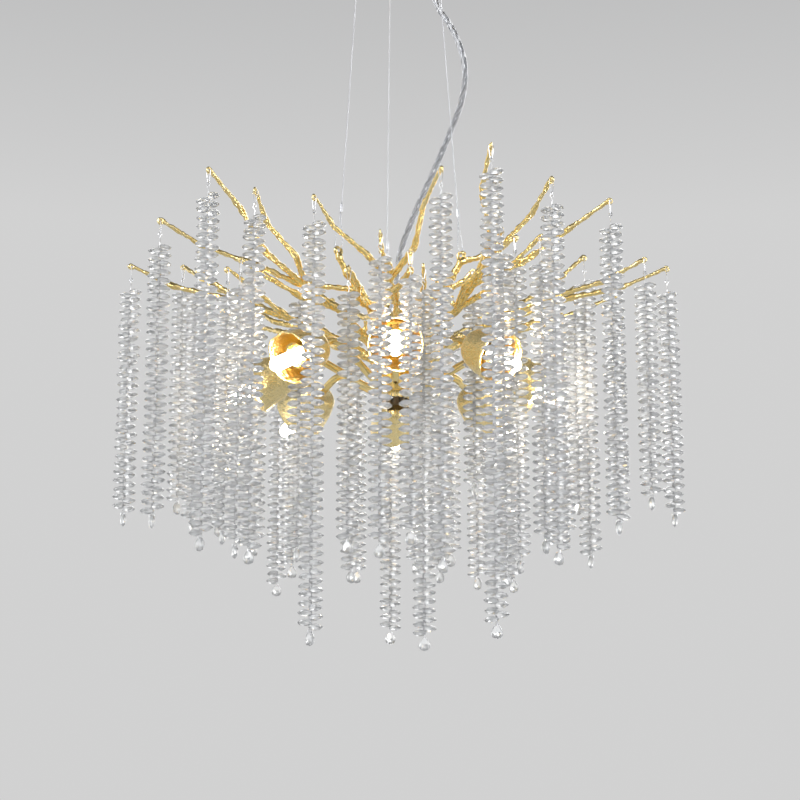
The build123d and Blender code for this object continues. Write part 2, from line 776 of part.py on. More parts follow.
# ---------------------------------------------------------------- canopy
def canopy():
    """Round cup against the ceiling with holes for two studs, three cable grips and the cord gland."""
    floor = -CANOPY_HEIGHT
    inside = floor + CANOPY_WALL
    cup = upright(CANOPY, floor, 0.0) - upright(CANOPY - CANOPY_WALL, inside, CUT)
    bottom, top = floor - CUT, inside + CUT
    holes = [upright(STUD + FREE_FIT, bottom, top, x, 0) for x in stud_places()]
    for azimuth in CABLE_AZIMUTHS:
        spot = polar(azimuth, GRIP_RADIUS, 0)
        holes.append(upright(GRIP_STEM + FREE_FIT, bottom, top, spot.X, spot.Y))
    holes.append(upright(GLAND_STEM + FREE_FIT, bottom, top, *CORD_EXIT))
    return cup - holes


def stud_places():
    return (-STUD_SPACING / 2, STUD_SPACING / 2)


def bracket():
    """Flat bar screwed to the ceiling inside the canopy."""
    length, width, thick = BRACKET
    bar = Solid.make_box(length, width, thick, Plane(origin=(-length / 2, -width / 2, -thick)))
    holes = [
        upright(BRACKET_HOLE, -thick - CUT, CUT, x, 0)
        for x in (-BRACKET_HOLES / 2, BRACKET_HOLES / 2)
    ]
    return bar - holes


def studs():
    """Two studs under the bracket, each with the domed nut that carries the canopy."""
    made = []
    floor = -CANOPY_HEIGHT
    for x in stud_places():
        stud = upright(STUD, floor, -BRACKET[2], x, 0)
        nut = upright(CAP_NUT, floor - CAP_NUT_HEIGHT + CAP_NUT, floor, x, 0)
        middle = Plane(origin=(x, 0, floor - CAP_NUT_HEIGHT + CAP_NUT))
        dome = Solid.make_sphere(CAP_NUT, middle, -90, 0)
        made.append(fused([stud, nut, dome]))
    return made


def cable_grips():
    """Three cable grips through the canopy's floor, each with a nut inside."""
    made = []
    floor = -CANOPY_HEIGHT
    inside = floor + CANOPY_WALL
    for azimuth in CABLE_AZIMUTHS:
        spot = polar(azimuth, GRIP_RADIUS, 0)
        place = (spot.X, spot.Y)
        grip = fused(
            [
                upright(GRIP_FLANGE, floor - GRIP_FLANGE_HEIGHT, floor, *place),
                upright(GRIP, floor - GRIP_LENGTH, floor - GRIP_FLANGE_HEIGHT, *place),
                upright(GRIP_STEM, floor, floor + GRIP_INSIDE, *place),
            ]
        )
        nut = prism(6, GRIP_NUT, 0.0, GRIP_NUT_HEIGHT, 0.0).moved(
            Location((spot.X, spot.Y, inside - LAMP_LEVEL))
        )
        bore = upright(GRIP_STEM + FREE_FIT, inside - CUT, inside + GRIP_NUT_HEIGHT + CUT, *place)
        made += [grip, nut - bore]
    return made


def cord_glands():
    """The gland under the canopy and its twin on top of the hub, each gripping an end of the cord."""
    floor = -CANOPY_HEIGHT
    x, y = CORD_EXIT
    upper = fused(
        [
            upright(GLAND_FLANGE, floor - GLAND_FLANGE_HEIGHT, floor, x, y),
            Solid.make_cone(
                GLAND, GLAND_NOSE, GLAND_HEIGHT - GLAND_FLANGE_HEIGHT,
                Plane(origin=(x, y, floor - GLAND_FLANGE_HEIGHT), z_dir=(0, 0, -1)),
            ),
            upright(GLAND_STEM, floor, floor + GRIP_INSIDE, x, y),
        ]
    )
    top = LAMP_LEVEL + COLUMN_TOP
    lower = fused(
        [
            upright(GLAND_FLANGE, top, top + GLAND_FLANGE_HEIGHT),
            Solid.make_cone(
                GLAND, GLAND_NOSE, GLAND_HEIGHT - GLAND_FLANGE_HEIGHT,
                Plane(origin=(0, 0, top + GLAND_FLANGE_HEIGHT)),
            ),
        ]
    )
    return [upper, lower]


# ---------------------------------------------------------------- cables and cord
def bend_radii(points):
    """Arc radius at each inner corner of a route."""
    radii = []
    for a, b, c in zip(points, points[1:], points[2:]):
        before, after = b - a, c - b
        turn = math.radians(before.get_angle(after))
        radii.append(BEND_SHARE * min(before.length, after.length) / math.tan(turn / 2))
    return radii


def tube(points, radius):
    radii = bend_radii(points)
    path = FilletPolyline(*points, radius=radii)
    made = sweep(Plane(origin=points[0], z_dir=points[1] - points[0]) * Circle(radius), path=path)
    length = path.length
    return made.solid(), radii, length


def cable_route(azimuth):
    """From the grip straight down to the lug, once round through it and back into the ferrule."""
    start = polar(azimuth, GRIP_RADIUS, -LAMP_LEVEL - CANOPY_HEIGHT - GRIP_LENGTH - END_GAP)
    lug = polar(azimuth, LUG_RADIUS, LUG_HEIGHT)
    up = (start - lug).normalized()
    a = math.radians(azimuth)
    across = Vector(-math.sin(a), math.cos(a), 0)
    (wide, low), (foot_wide, foot) = CABLE_LOOP
    apart, throat = CABLE_THROAT
    corners = [
        (apart, throat),
        (wide, low),
        (foot_wide, foot),
        (-foot_wide, foot),
        (-wide, low),
        (-apart, throat),
        (-apart, CABLE_TAIL),
    ]
    return [start] + [lug + across * t + up * w for t, w in corners]


def ferrule(azimuth, cable):
    """Crimped sleeve that holds both runs of the cable above its loop."""
    lug = polar(azimuth, LUG_RADIUS, LUG_HEIGHT)
    start = cable_route(azimuth)[0]
    up = (start - lug).normalized()
    foot, top = FERRULE_SPAN
    plane = Plane(origin=lug + up * foot, z_dir=up)
    return (Solid.make_cylinder(FERRULE, top - foot, plane) - cable).solid()


def cord_route():
    """From the canopy's gland out to the right, back across and down into the hub."""
    x, y = CORD_EXIT
    foot = -CANOPY_HEIGHT - GLAND_HEIGHT
    end = LAMP_LEVEL + COLUMN_TOP + GLAND_HEIGHT
    out_run, in_run = CORD_STARTS
    first = [Vector(x, y, foot), Vector(x, y, foot - out_run)]
    last = [Vector(0, 0, end + in_run), Vector(0, 0, end)]
    return first + [Vector(*point) for point in CORD_BOW] + last


# ---------------------------------------------------------------- build
def write(name, shapes):
    """One STEP file for a node, from one solid or a group of separate solids."""
    shapes = shapes if isinstance(shapes, list) else [shapes]
    solids = [solid for shape in shapes for solid in shape.solids()]
    whole = solids[0] if len(solids) == 1 else Compound(label=name, children=solids)
    export_step(whole, "parts/" + name + ".step")
    print(name, len(solids), "solids", round(sum(s.volume for s in solids), 1), "mm3")


def main():
    os.makedirs("parts", exist_ok=True)
    write("ceiling_canopy", canopy())
    write("canopy_bracket", bracket())
    write("canopy_studs", studs())
    write("cable_grips", cable_grips())
    write("cord_glands", cord_glands())

    cables, ferrules = [], []
    for azimuth in CABLE_AZIMUTHS:
        cable, radii, length = tube(cable_route(azimuth), CABLE)
        cables.append(cable)
        ferrules.append(ferrule(azimuth, cable))
        print("cable", round(length, 1), "mm, radii", [round(r, 1) for r in radii])
        print("  section x length", round(math.pi * CABLE**2 * length, 1), round(cable.volume, 1))
    write("suspension_cables", cables)
    write("cable_ferrules", ferrules)
    cord, radii, length = tube(cord_route(), CORD)
    print("cord", round(length, 1), "mm, radii", [round(r, 1) for r in radii])
    print("  section x length", round(math.pi * CORD**2 * length, 1), round(cord.volume, 1))
    write("power_cord", cord)

    write("hub_column", hub_column())
    write("hub_nut", hub_nut())
    stems = []
    for stem in STEMS:
        parts = grown(stem, STEM_COLLAR)
        lug = polar(stem.azimuth, LUG_RADIUS, LUG_HEIGHT)
        parts.append(ring_at(lug, stem.azimuth, LUG, LUG_WIRE))
        stems.append(fused(parts))
    write("upright_stems", stems)
    for name, boughs in BOUGHS.items():
        write(name, [fused(grown(bough, BOUGH_COLLAR)) for bough in boughs])

    arm = lamp_arm().solid()
    write("lamp_arms", [arm.rotate(Axis.Z, LAMP_STEP * k) for k in range(LAMPS)])
    write("lamp_shades", eight_lamps(lamp_shade()))
    write("lamp_sleeves", eight_lamps(lamp_sleeve()))
    write("lamp_holders", eight_lamps(lamp_holder()))
    write("lamp_bulbs", eight_lamps(lamp_bulb()))

    for number, name in enumerate(STRANDS, start=1):
        place = eye_point(name) - Vector(0, 0, bar_drop())
        turn = eye_heading(name)
        spot = Location((place.X, place.Y, place.Z), (0, 0, turn))
        parts = strand_parts(STRANDS[name].beads, number, -turn)
        write(f"bead_strand_{number:02d}", [part.moved(spot) for part in parts])


main()
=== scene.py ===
# %% [markdown]
# # Dressing a crystal chandelier
# The chandelier hangs on three steel wires under a ceiling canopy. A crown of gold
# twigs carries forty strands of clear, drilled crystal beads, and eight small lamps
# in hammered bowls point outward and down from a central hub.
# The construction model is already packed: every part has its real place and size.
# This script keeps that frame still and gives each part the surface that it has in
# real life. What the frame shows too plainly is modelled again, in the same place.

# %% Load the frame
import json
import math
import random

import bpy
import numpy as np
from mathutils import Matrix, Vector, noise

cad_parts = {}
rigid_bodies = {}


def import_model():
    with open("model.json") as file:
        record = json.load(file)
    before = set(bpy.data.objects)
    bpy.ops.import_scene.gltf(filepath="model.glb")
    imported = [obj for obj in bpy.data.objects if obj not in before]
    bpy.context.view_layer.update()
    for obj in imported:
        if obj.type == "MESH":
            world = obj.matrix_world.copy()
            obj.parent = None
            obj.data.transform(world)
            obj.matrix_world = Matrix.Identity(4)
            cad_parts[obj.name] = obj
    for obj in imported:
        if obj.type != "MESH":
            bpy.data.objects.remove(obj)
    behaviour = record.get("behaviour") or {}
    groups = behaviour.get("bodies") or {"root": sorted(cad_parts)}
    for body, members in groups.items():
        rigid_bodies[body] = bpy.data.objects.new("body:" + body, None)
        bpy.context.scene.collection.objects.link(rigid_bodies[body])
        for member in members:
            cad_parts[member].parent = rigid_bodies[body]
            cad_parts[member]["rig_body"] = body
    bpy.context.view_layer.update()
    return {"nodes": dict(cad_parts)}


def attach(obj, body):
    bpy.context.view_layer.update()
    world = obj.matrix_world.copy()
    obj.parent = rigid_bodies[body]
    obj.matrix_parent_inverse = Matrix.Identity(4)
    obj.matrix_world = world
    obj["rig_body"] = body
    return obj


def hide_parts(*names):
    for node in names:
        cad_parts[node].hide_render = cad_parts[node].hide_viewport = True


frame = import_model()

nodes = frame["nodes"]
BODY = "frame"
MM = 0.001


def add_object(name, data):
    """New object with this data, linked to the scene."""
    piece = bpy.data.objects.new(name, data)
    bpy.context.scene.collection.objects.link(piece)
    return piece


# %% [markdown]
# ## The camera
# The photograph looks up at the crown from below, square to its front. A camera is
# fixed by four things: the point that it looks at, how far off it stands, how steep
# it looks, and how many millimetres one pixel covers at that point. The last two of
# these give the lens. The lamp axis stands a few pixels left of the middle, which a
# small sideways shift of the picture copies without turning the camera.

# %% Camera
LAMP_LEVEL = -0.555
CAMERA_REACH = 2.6
CAMERA_RISE = math.radians(17)
PICTURE = 800
MM_PER_PIXEL = 1.047
AXIS_PIXEL = 395.5
SENSOR_WIDTH = 36            # millimetres


def make_camera():
    data = bpy.data.cameras.new("camera")
    camera = add_object("camera", data)
    forward = Vector((0, math.cos(CAMERA_RISE), math.sin(CAMERA_RISE)))
    camera.location = Vector((0, 0, LAMP_LEVEL)) - forward * CAMERA_REACH
    camera.rotation_euler = (math.pi / 2 + CAMERA_RISE, 0, 0)
    data.sensor_width = SENSOR_WIDTH
    data.lens = data.sensor_width * CAMERA_REACH / (MM_PER_PIXEL * MM) / PICTURE
    data.shift_x = (PICTURE / 2 - AXIS_PIXEL) / PICTURE
    data.clip_end = 50
    bpy.context.scene.camera = camera
    return camera


camera = make_camera()
bpy.context.scene.view_settings.view_transform = "Standard"
print("lens:", round(camera.data.lens, 1), "mm")

# %% [markdown]
# ## Cords come next
# A cord is one smooth line, so it is a single NURBS spline. Its control points are
# the corners of the route; order three makes it glide past each of them. The order
# and the end points are set after the points exist, or Blender falls back to
# straight runs.

# %% Helpers for cords
STEPS_BETWEEN_POINTS = 16
CORD_FACETS = 6              # bevel steps in a quarter of the cord's outline


def curve_piece(name, points, radius):
    data = bpy.data.curves.new(name, "CURVE")
    data.dimensions = "3D"
    spline = data.splines.new("NURBS")
    spline.points.add(len(points) - 1)
    for place, point in zip(spline.points, points):
        place.co = (*point, 1.0)
    spline.order_u = 3
    spline.use_endpoint_u = True
    spline.resolution_u = STEPS_BETWEEN_POINTS
    piece = add_object(name, data)
    line = followed_points(piece)
    data.bevel_depth = radius
    data.bevel_resolution = CORD_FACETS
    data.use_fill_caps = True
    return piece, line


def followed_points(piece):
    """Points along the spline itself, read while it has no thickness."""
    line = bpy.data.meshes.new_from_object(piece)
    points = [v.co.copy() for v in line.vertices]
    bpy.data.meshes.remove(line)
    return points


# %% Power cord: route
CORD_DIAMETER = 0.0065
CORD_ROUTE_MM = [
    (38, 22, -39),
    (38, 22, -80),
    (70, 18, -130),
    (80, 13, -190),
    (52, 7, -270),
    (14, 2, -360),
    (0, 0, -407),
    (0, 0, -445),
]

power_cord, cord_line = curve_piece(
    "cord_jacket",
    [Vector(p) * MM for p in CORD_ROUTE_MM],
    CORD_DIAMETER / 2,
)
print("power cord follows", len(cord_line), "points")

# %% [markdown]
# ## What is inside the clear cord
# The jacket is clear, so its two silvered conductors show. They lie twisted round
# each other: each follows a helix about the cord's own line. A frame is carried
# along the line from point to point, turned only as far as the line turns, so that
# the helix never flips.

# %% Power cord: conductors
CORE_RADIUS = 0.00135
CORE_OFFSET = 0.0014
CORE_PITCH = 0.045
CORE_SIDES = 10
CORE_STEP = 0.0015


def resampled(points, step):
    """The same line with evenly spaced points, about a step apart."""
    lengths = [0.0]
    for near, far in zip(points, points[1:]):
        lengths.append(lengths[-1] + (far - near).length)
    count = max(2, round(lengths[-1] / step))
    made, i = [], 0
    for k in range(count + 1):
        at = lengths[-1] * k / count
        while i < len(points) - 2 and lengths[i + 1] < at:
            i += 1
        share = (at - lengths[i]) / max(1e-12, lengths[i + 1] - lengths[i])
        made.append(points[i].lerp(points[i + 1], min(1.0, share)))
    return made


def carried_frames(points):
    """For each point its tangent and two directions square to it, with no twist."""
    frames = []
    side = Vector((1, 0, 0))
    for i, point in enumerate(points):
        ahead = points[min(i + 1, len(points) - 1)]
        behind = points[max(i - 1, 0)]
        tangent = (ahead - behind).normalized()
        side = (side - tangent * side.dot(tangent)).normalized()
        frames.append((point, tangent, side, tangent.cross(side)))
    return frames


def tube_along(name, points, radius, sides):
    """Closed mesh tube along a list of points."""
    verts, faces = [], []
    for point, _, side, other in carried_frames(points):
        for k in range(sides):
            a = 2 * math.pi * k / sides
            verts.append(point + (side * math.cos(a) + other * math.sin(a)) * radius)
    for i in range(len(points) - 1):
        for k in range(sides):
            near, after = i * sides + k, i * sides + (k + 1) % sides
            faces.append((near, after, after + sides, near + sides))
    faces.append(tuple(reversed(range(sides))))
    faces.append(tuple(range((len(points) - 1) * sides, len(points) * sides)))
    mesh = bpy.data.meshes.new(name)
    mesh.from_pydata(verts, [], faces)
    mesh.shade_smooth()
    return add_object(name, mesh)


def conductors(line):
    """Two twisted tubes along the cord's line, half a turn apart."""
    steps = resampled(line, CORE_STEP)
    frames = carried_frames(steps)
    pieces = []
    for number in (0, 1):
        points = []
        for i, (point, _, side, other) in enumerate(frames):
            a = 2 * math.pi * i * CORE_STEP / CORE_PITCH + math.pi * number
            points.append(point + (side * math.cos(a) + other * math.sin(a)) * CORE_OFFSET)
        pieces.append(tube_along(f"cord_conductor_{number + 1}", points, CORE_RADIUS, CORE_SIDES))
    return pieces


cord_cores = conductors(cord_line)
print("conductors:", [len(c.data.vertices) for c in cord_cores], "points each")

# %% [markdown]
# ## Three suspension wires
# Each wire runs straight from its grip in the canopy to the lug of an upright stem,
# goes once through the lug, and comes back up beside itself into a crimped ferrule.
# The long run is straight because the crown's weight pulls it, so it gets one more
# control point close to the loop: otherwise the curve would start to bend half way.

# %% Suspension wires: route
CABLE_AZIMUTHS = (-143.0, -23.0, 97.0)
CABLE_DIAMETER = 0.0012
GRIP_RADIUS = 0.049
GRIP_FOOT = -0.03705
LUG_RADIUS = 0.075
LUG_HEIGHT = 0.150
LOOP_CORNERS_MM = [
    # across the lug, up along the wire
    (0.62, 39.2),
    (0.65, 32),
    (8.2, 11.5),
    (4.5, 1.4),
    (-4.5, 1.4),
    (-8.2, 11.5),
    (-0.65, 32),
    (-0.65, 54),
]


def polar(azimuth, radius, height):
    """Point at an azimuth in degrees, a radius and a height."""
    a = math.radians(azimuth)
    return Vector((radius * math.cos(a), radius * math.sin(a), height))


def grip_place(azimuth):
    return polar(azimuth, GRIP_RADIUS, GRIP_FOOT)


def lug_place(azimuth):
    return polar(azimuth, LUG_RADIUS, LAMP_LEVEL + LUG_HEIGHT)


def cable_up(azimuth):
    """Direction of a wire's straight run, upward from its lug."""
    return (grip_place(azimuth) - lug_place(azimuth)).normalized()


def cable_across(azimuth):
    """Level direction through the hole of a lug."""
    a = math.radians(azimuth)
    return Vector((-math.sin(a), math.cos(a), 0))


def cable_points(azimuth):
    """From the grip down to the lug, once through it and back up beside the wire."""
    lug, up, across = lug_place(azimuth), cable_up(azimuth), cable_across(azimuth)
    loop = [lug + across * (t * MM) + up * (w * MM) for t, w in LOOP_CORNERS_MM]
    return [grip_place(azimuth)] + loop


cables = []
for number, azimuth in enumerate(CABLE_AZIMUTHS, start=1):
    points = cable_points(azimuth)
    cable, _ = curve_piece(f"suspension_wire_{number}", points, CABLE_DIAMETER / 2)
    cables.append(cable)
print("suspension wires:", len(cables))

# %% [markdown]
# ## The studio
# A pale floor far below, pale surroundings and three soft lamps. What the camera
# sees behind the chandelier is a plain gradient, pale about the horizon and greyer
# overhead. Its glass and metal see the same gradient broken up by lit and unlit
# patches, like the screens of a studio: clear glass in an even white room has
# nothing to bend and vanishes. Light Path tells these uses of the world apart, and
# a plain fill serves the rays that only gather light.

# %% Studio: nodes helper, floor and world
FLOOR_LEVEL = -2.6
FLOOR_HALF = 9.0
FLOOR_PALE = (0.72, 0.715, 0.705, 1)
FLOOR_MOTTLE = 1.02          # how much lighter its lightest patches are
HORIZON = (0.64, 0.64, 0.64, 1)
ZENITH = (0.14, 0.145, 0.155, 1)
NADIR = (0.44, 0.44, 0.44, 1)
FILL = (0.42, 0.43, 0.44, 1)
UNLIT = (0.22, 0.22, 0.225, 1)
LIT_SCREEN = (1.7, 1.7, 1.7, 1)
SKY_STOPS = ((0.0, NADIR), (0.46, HORIZON), (0.68, HORIZON), (0.86, ZENITH))
SCREEN_STOPS = ((0.38, UNLIT), (0.48, LIT_SCREEN))
SCREEN_SCALE = 3.2


def linked(tree, kind, inputs=None, **settings):
    """New shader node with its settings and inputs: a value is set, a socket is joined."""
    node = tree.nodes.new(kind)
    for key, value in settings.items():
        setattr(node, key, value)
    for key, value in (inputs or {}).items():
        if isinstance(value, bpy.types.NodeSocket):
            tree.links.new(value, node.inputs[key])
        else:
            node.inputs[key].default_value = value
    return node


def ramp(tree, factor, stops):
    """Colours at stops from 0 to 1, read by the factor."""
    node = linked(tree, "ShaderNodeValToRGB", {"Fac": factor})
    elements = node.color_ramp.elements
    while len(elements) < len(stops):
        elements.new(0.5)
    for element, (place, colour) in zip(elements, stops):
        element.position = place
        element.color = colour
    return node.outputs["Color"]


def make_world():
    """A gradient for the camera, the same broken by screens for glass and metal, else a fill."""
    world = bpy.data.worlds.new("studio")
    bpy.context.scene.world = world
    world.use_nodes = True
    tree = world.node_tree
    tree.nodes.clear()
    place = linked(tree, "ShaderNodeTexCoord")
    split = linked(tree, "ShaderNodeSeparateXYZ", {"Vector": place.outputs["Generated"]})
    height = linked(
        tree,
        "ShaderNodeMapRange",
        {"Value": split.outputs["Z"], "From Min": -1.0, "From Max": 1.0},
    )
    gradient = ramp(tree, height.outputs[0], SKY_STOPS)
    patches = linked(
        tree,
        "ShaderNodeTexNoise",
        {"Vector": place.outputs["Generated"], "Scale": SCREEN_SCALE, "Detail": 1.5},
    )
    screens = ramp(tree, patches.outputs["Fac"], SCREEN_STOPS)
    broken = linked(
        tree, "ShaderNodeVectorMath", {0: gradient, 1: screens}, operation="MULTIPLY"
    )
    path = linked(tree, "ShaderNodeLightPath")
    shows = linked(
        tree,
        "ShaderNodeMath",
        {0: path.outputs["Is Glossy Ray"], 1: path.outputs["Is Transmission Ray"]},
        operation="MAXIMUM",
    )
    surface = linked(tree, "ShaderNodeBackground", {"Color": FILL}).outputs[0]
    for colour, share in (
        (gradient, path.outputs["Is Camera Ray"]),
        (broken.outputs[0], shows.outputs[0]),
    ):
        layer = linked(tree, "ShaderNodeBackground", {"Color": colour})
        mixed = linked(
            tree, "ShaderNodeMixShader", {0: share, 1: surface, 2: layer.outputs[0]}
        )
        surface = mixed.outputs[0]
    linked(tree, "ShaderNodeOutputWorld", {"Surface": surface})


def make_floor():
    mesh = bpy.data.meshes.new("floor")
    edge = FLOOR_HALF
    corners = [(-edge, -edge), (edge, -edge), (edge, edge), (-edge, edge)]
    mesh.from_pydata([(x, y, FLOOR_LEVEL) for x, y in corners], [], [(0, 1, 2, 3)])
    floor = add_object("floor", mesh)
    return floor


make_world()
floor = make_floor()
print("floor at", FLOOR_LEVEL, "m, under a ceiling at 0")

# %% [markdown]
# ## Soft lamps
# Wide area lamps are softboxes. Each is given the brightness that it should add on
# a surface facing it, and its power is worked out from that and its distance, so
# moving a lamp doesn't change the exposure.

# %% Studio: lamps
SOFTBOXES = (
    # name, place, width, light added on a facing surface
    ("key", (-2.2, -2.4, 0.9), 1.6, 0.42),
    ("fill", (2.6, -1.6, -0.3), 1.4, 0.22),
    ("back", (0.9, 2.8, 1.0), 1.8, 0.30),
)


def softbox(name, place, width, brightness):
    """Square lamp turned to the crown; returns its power in watts."""
    data = bpy.data.lights.new(name, "AREA")
    data.shape = "SQUARE"
    data.size = width
    aim = Vector((0, 0, LAMP_LEVEL)) - Vector(place)
    data.energy = brightness * math.pi**2 * aim.length_squared
    lamp = add_object(name, data)
    lamp.location = place
    lamp.rotation_euler = aim.to_track_quat("-Z", "Y").to_euler()
    lamp.visible_camera = False
    return data.energy


for name, place, width, brightness in SOFTBOXES:
    print(name, "softbox:", round(softbox(name, place, width, brightness), 1), "W")

# %% [markdown]
# ## Effects that several finishes share
# Two node groups. The first, mottling, gives slow changes of tone with fine grain
# in them. The second, hammering, gives the shallow round dents of a planishing
# hammer. Both put out plain values, so each material decides what they drive.

# %% Shared effect: mottling
def group(name, inputs, outputs):
    tree = bpy.data.node_groups.new(name, "ShaderNodeTree")
    for socket, value in inputs.items():
        made = tree.interface.new_socket(socket, in_out="INPUT", socket_type="NodeSocketFloat")
        made.default_value = value
    for socket in outputs:
        tree.interface.new_socket(socket, in_out="OUTPUT", socket_type="NodeSocketFloat")
    start = tree.nodes.new("NodeGroupInput")
    end = tree.nodes.new("NodeGroupOutput")
    return tree, start.outputs, end.inputs


def make_mottling():
    tree, given, wanted = group(
        "mottling", {"Patch Scale": 60.0, "Grain Scale": 900.0}, ("Patches", "Grain")
    )
    place = linked(tree, "ShaderNodeTexCoord").outputs["Object"]
    patches = linked(
        tree,
        "ShaderNodeTexNoise",
        {"Vector": place, "Scale": given["Patch Scale"], "Detail": 3.0},
    )
    grain = linked(
        tree,
        "ShaderNodeTexNoise",
        {"Vector": place, "Scale": given["Grain Scale"], "Detail": 2.0},
    )
    tree.links.new(patches.outputs["Fac"], wanted["Patches"])
    tree.links.new(grain.outputs["Fac"], wanted["Grain"])
    return tree


# %% Shared effect: hammering
def make_hammering():
    tree, given, wanted = group("hammering", {"Dent Scale": 220.0}, ("Height", "Edges"))
    place = linked(tree, "ShaderNodeTexCoord").outputs["Object"]
    dents = linked(
        tree,
        "ShaderNodeTexVoronoi",
        {"Vector": place, "Scale": given["Dent Scale"], "Smoothness": 0.25},
        feature="SMOOTH_F1",
    )
    edges = linked(
        tree,
        "ShaderNodeTexVoronoi",
        {"Vector": place, "Scale": given["Dent Scale"]},
        feature="DISTANCE_TO_EDGE",
    )
    tree.links.new(dents.outputs["Distance"], wanted["Height"])
    tree.links.new(edges.outputs["Distance"], wanted["Edges"])
    return tree


MOTTLING = make_mottling()
HAMMERING = make_hammering()
print("shared effects:", MOTTLING.name, "and", HAMMERING.name)

# %% [markdown]
# ## Materials
# Each finish starts from the same few lines: a Principled shader, a place for its
# colour, its roughness and its relief. A colour ramp driven by mottling keeps any
# of them from being one flat colour.

# %% Helpers for materials
def placed(tree, source, **values):
    """A shared effect placed in a material, with its own values."""
    node = tree.nodes.new("ShaderNodeGroup")
    node.node_tree = source
    for key, value in values.items():
        node.inputs[key.replace("_", " ").title()].default_value = value
    return node.outputs


def new_material(name, **constants):
    material = bpy.data.materials.new(name)
    material.use_nodes = True
    tree = material.node_tree
    tree.nodes.clear()
    shader = tree.nodes.new("ShaderNodeBsdfPrincipled")
    for key, value in constants.items():
        shader.inputs[key.replace("_", " ")].default_value = value
    linked(tree, "ShaderNodeOutputMaterial", {"Surface": shader.outputs[0]})
    return material, tree, shader.inputs


NOISE_SPAN = (0.3, 0.7)      # where most values of a noise lie


def spread(tree, value, low, high):
    """A noise value spread over low to high."""
    least, most = NOISE_SPAN
    node = linked(
        tree,
        "ShaderNodeMapRange",
        {"Value": value, "From Min": least, "From Max": most, "To Min": low, "To Max": high},
    )
    return node.outputs[0]


def relief(tree, height, depth, under=None):
    """Bump of a depth in metres, laid over another one where given."""
    inputs = {"Height": height, "Distance": depth, "Strength": 1.0}
    if under is not None:
        inputs["Normal"] = under
    return linked(tree, "ShaderNodeBump", inputs).outputs["Normal"]


# %% Golds
GOLD_PALE = (0.98, 0.81, 0.42, 1)
GOLD_RICH = (0.89, 0.65, 0.22, 1)
GOLD_DEEP = (0.48, 0.32, 0.08, 1)
RIDGE_SPAN = (0.44, 0.56)    # pointiness of hollows and of ridges


def polished_gold():
    material, tree, shader = new_material("polished_gold", Metallic=1.0)
    mottling = placed(tree, MOTTLING, patch_scale=45.0, grain_scale=1400.0)
    colour = ramp(tree, mottling["Patches"], [(0.3, GOLD_RICH), (0.65, GOLD_PALE)])
    tree.links.new(colour, shader["Base Color"])
    tree.links.new(spread(tree, mottling["Grain"], 0.10, 0.20), shader["Roughness"])
    tree.links.new(relief(tree, mottling["Grain"], 0.00003), shader["Normal"])
    return material


def twig_gold():
    """Gold that is paler on ridges and deeper in hollows."""
    material, tree, shader = new_material("twig_gold", Metallic=1.0)
    mottling = placed(tree, MOTTLING, patch_scale=120.0, grain_scale=1600.0)
    shape = linked(tree, "ShaderNodeNewGeometry")
    ridge = linked(
        tree,
        "ShaderNodeMapRange",
        {
            "Value": shape.outputs["Pointiness"],
            "From Min": RIDGE_SPAN[0],
            "From Max": RIDGE_SPAN[1],
        },
    )
    tone = linked(
        tree,
        "ShaderNodeMath",
        {0: ridge.outputs[0], 1: mottling["Patches"]},
        operation="ADD",
    )
    halved = linked(tree, "ShaderNodeMath", {0: tone.outputs[0], 1: 0.5}, operation="MULTIPLY")
    colour = ramp(
        tree, halved.outputs[0], [(0.22, GOLD_DEEP), (0.45, GOLD_RICH), (0.75, GOLD_PALE)]
    )
    tree.links.new(colour, shader["Base Color"])
    tree.links.new(spread(tree, mottling["Patches"], 0.22, 0.10), shader["Roughness"])
    tree.links.new(relief(tree, mottling["Grain"], 0.00008), shader["Normal"])
    return material


def hammered_gold():
    material, tree, shader = new_material("hammered_gold", Metallic=1.0)
    mottling = placed(tree, MOTTLING, patch_scale=80.0, grain_scale=1500.0)
    hammering = placed(tree, HAMMERING, dent_scale=420.0)
    tone = linked(
        tree,
        "ShaderNodeMath",
        {0: mottling["Patches"], 1: hammering["Height"]},
        operation="MULTIPLY",
    )
    colour = ramp(
        tree, tone.outputs[0], [(0.05, GOLD_PALE), (0.35, GOLD_PALE), (0.6, GOLD_RICH)]
    )
    tree.links.new(colour, shader["Base Color"])
    tree.links.new(spread(tree, mottling["Grain"], 0.20, 0.34), shader["Roughness"])
    dented = relief(tree, hammering["Height"], 0.0006)
    tree.links.new(relief(tree, mottling["Grain"], 0.0001, under=dented), shader["Normal"])
    return material


# %% Steel, silver, bronze and ceramic
SILVER = (0.86, 0.87, 0.89, 1)
SILVER_DULL = (0.62, 0.63, 0.66, 1)
# painted light: a lighter silver that only the thread takes, standing in for the light that the
# crystal round it takes away
SILVER_PAINTED_LIGHT = (0.96, 0.96, 0.97, 1)
ZINC = (0.60, 0.61, 0.63, 1)
ZINC_BLUE = (0.46, 0.48, 0.53, 1)
BRONZE = (0.055, 0.045, 0.035, 1)
BRONZE_WORN = (0.20, 0.14, 0.08, 1)
CERAMIC = (0.86, 0.84, 0.80, 1)
CERAMIC_SHADE = (0.76, 0.73, 0.67, 1)


def plain_metal(name, dark, light, rough, patch_scale=150.0, grain_depth=0.00004):
    material, tree, shader = new_material(name, Metallic=1.0)
    mottling = placed(tree, MOTTLING, patch_scale=patch_scale, grain_scale=2500.0)
    colour = ramp(tree, mottling["Patches"], [(0.35, dark), (0.65, light)])
    tree.links.new(colour, shader["Base Color"])
    tree.links.new(spread(tree, mottling["Grain"], *rough), shader["Roughness"])
    tree.links.new(relief(tree, mottling["Grain"], grain_depth), shader["Normal"])
    return material


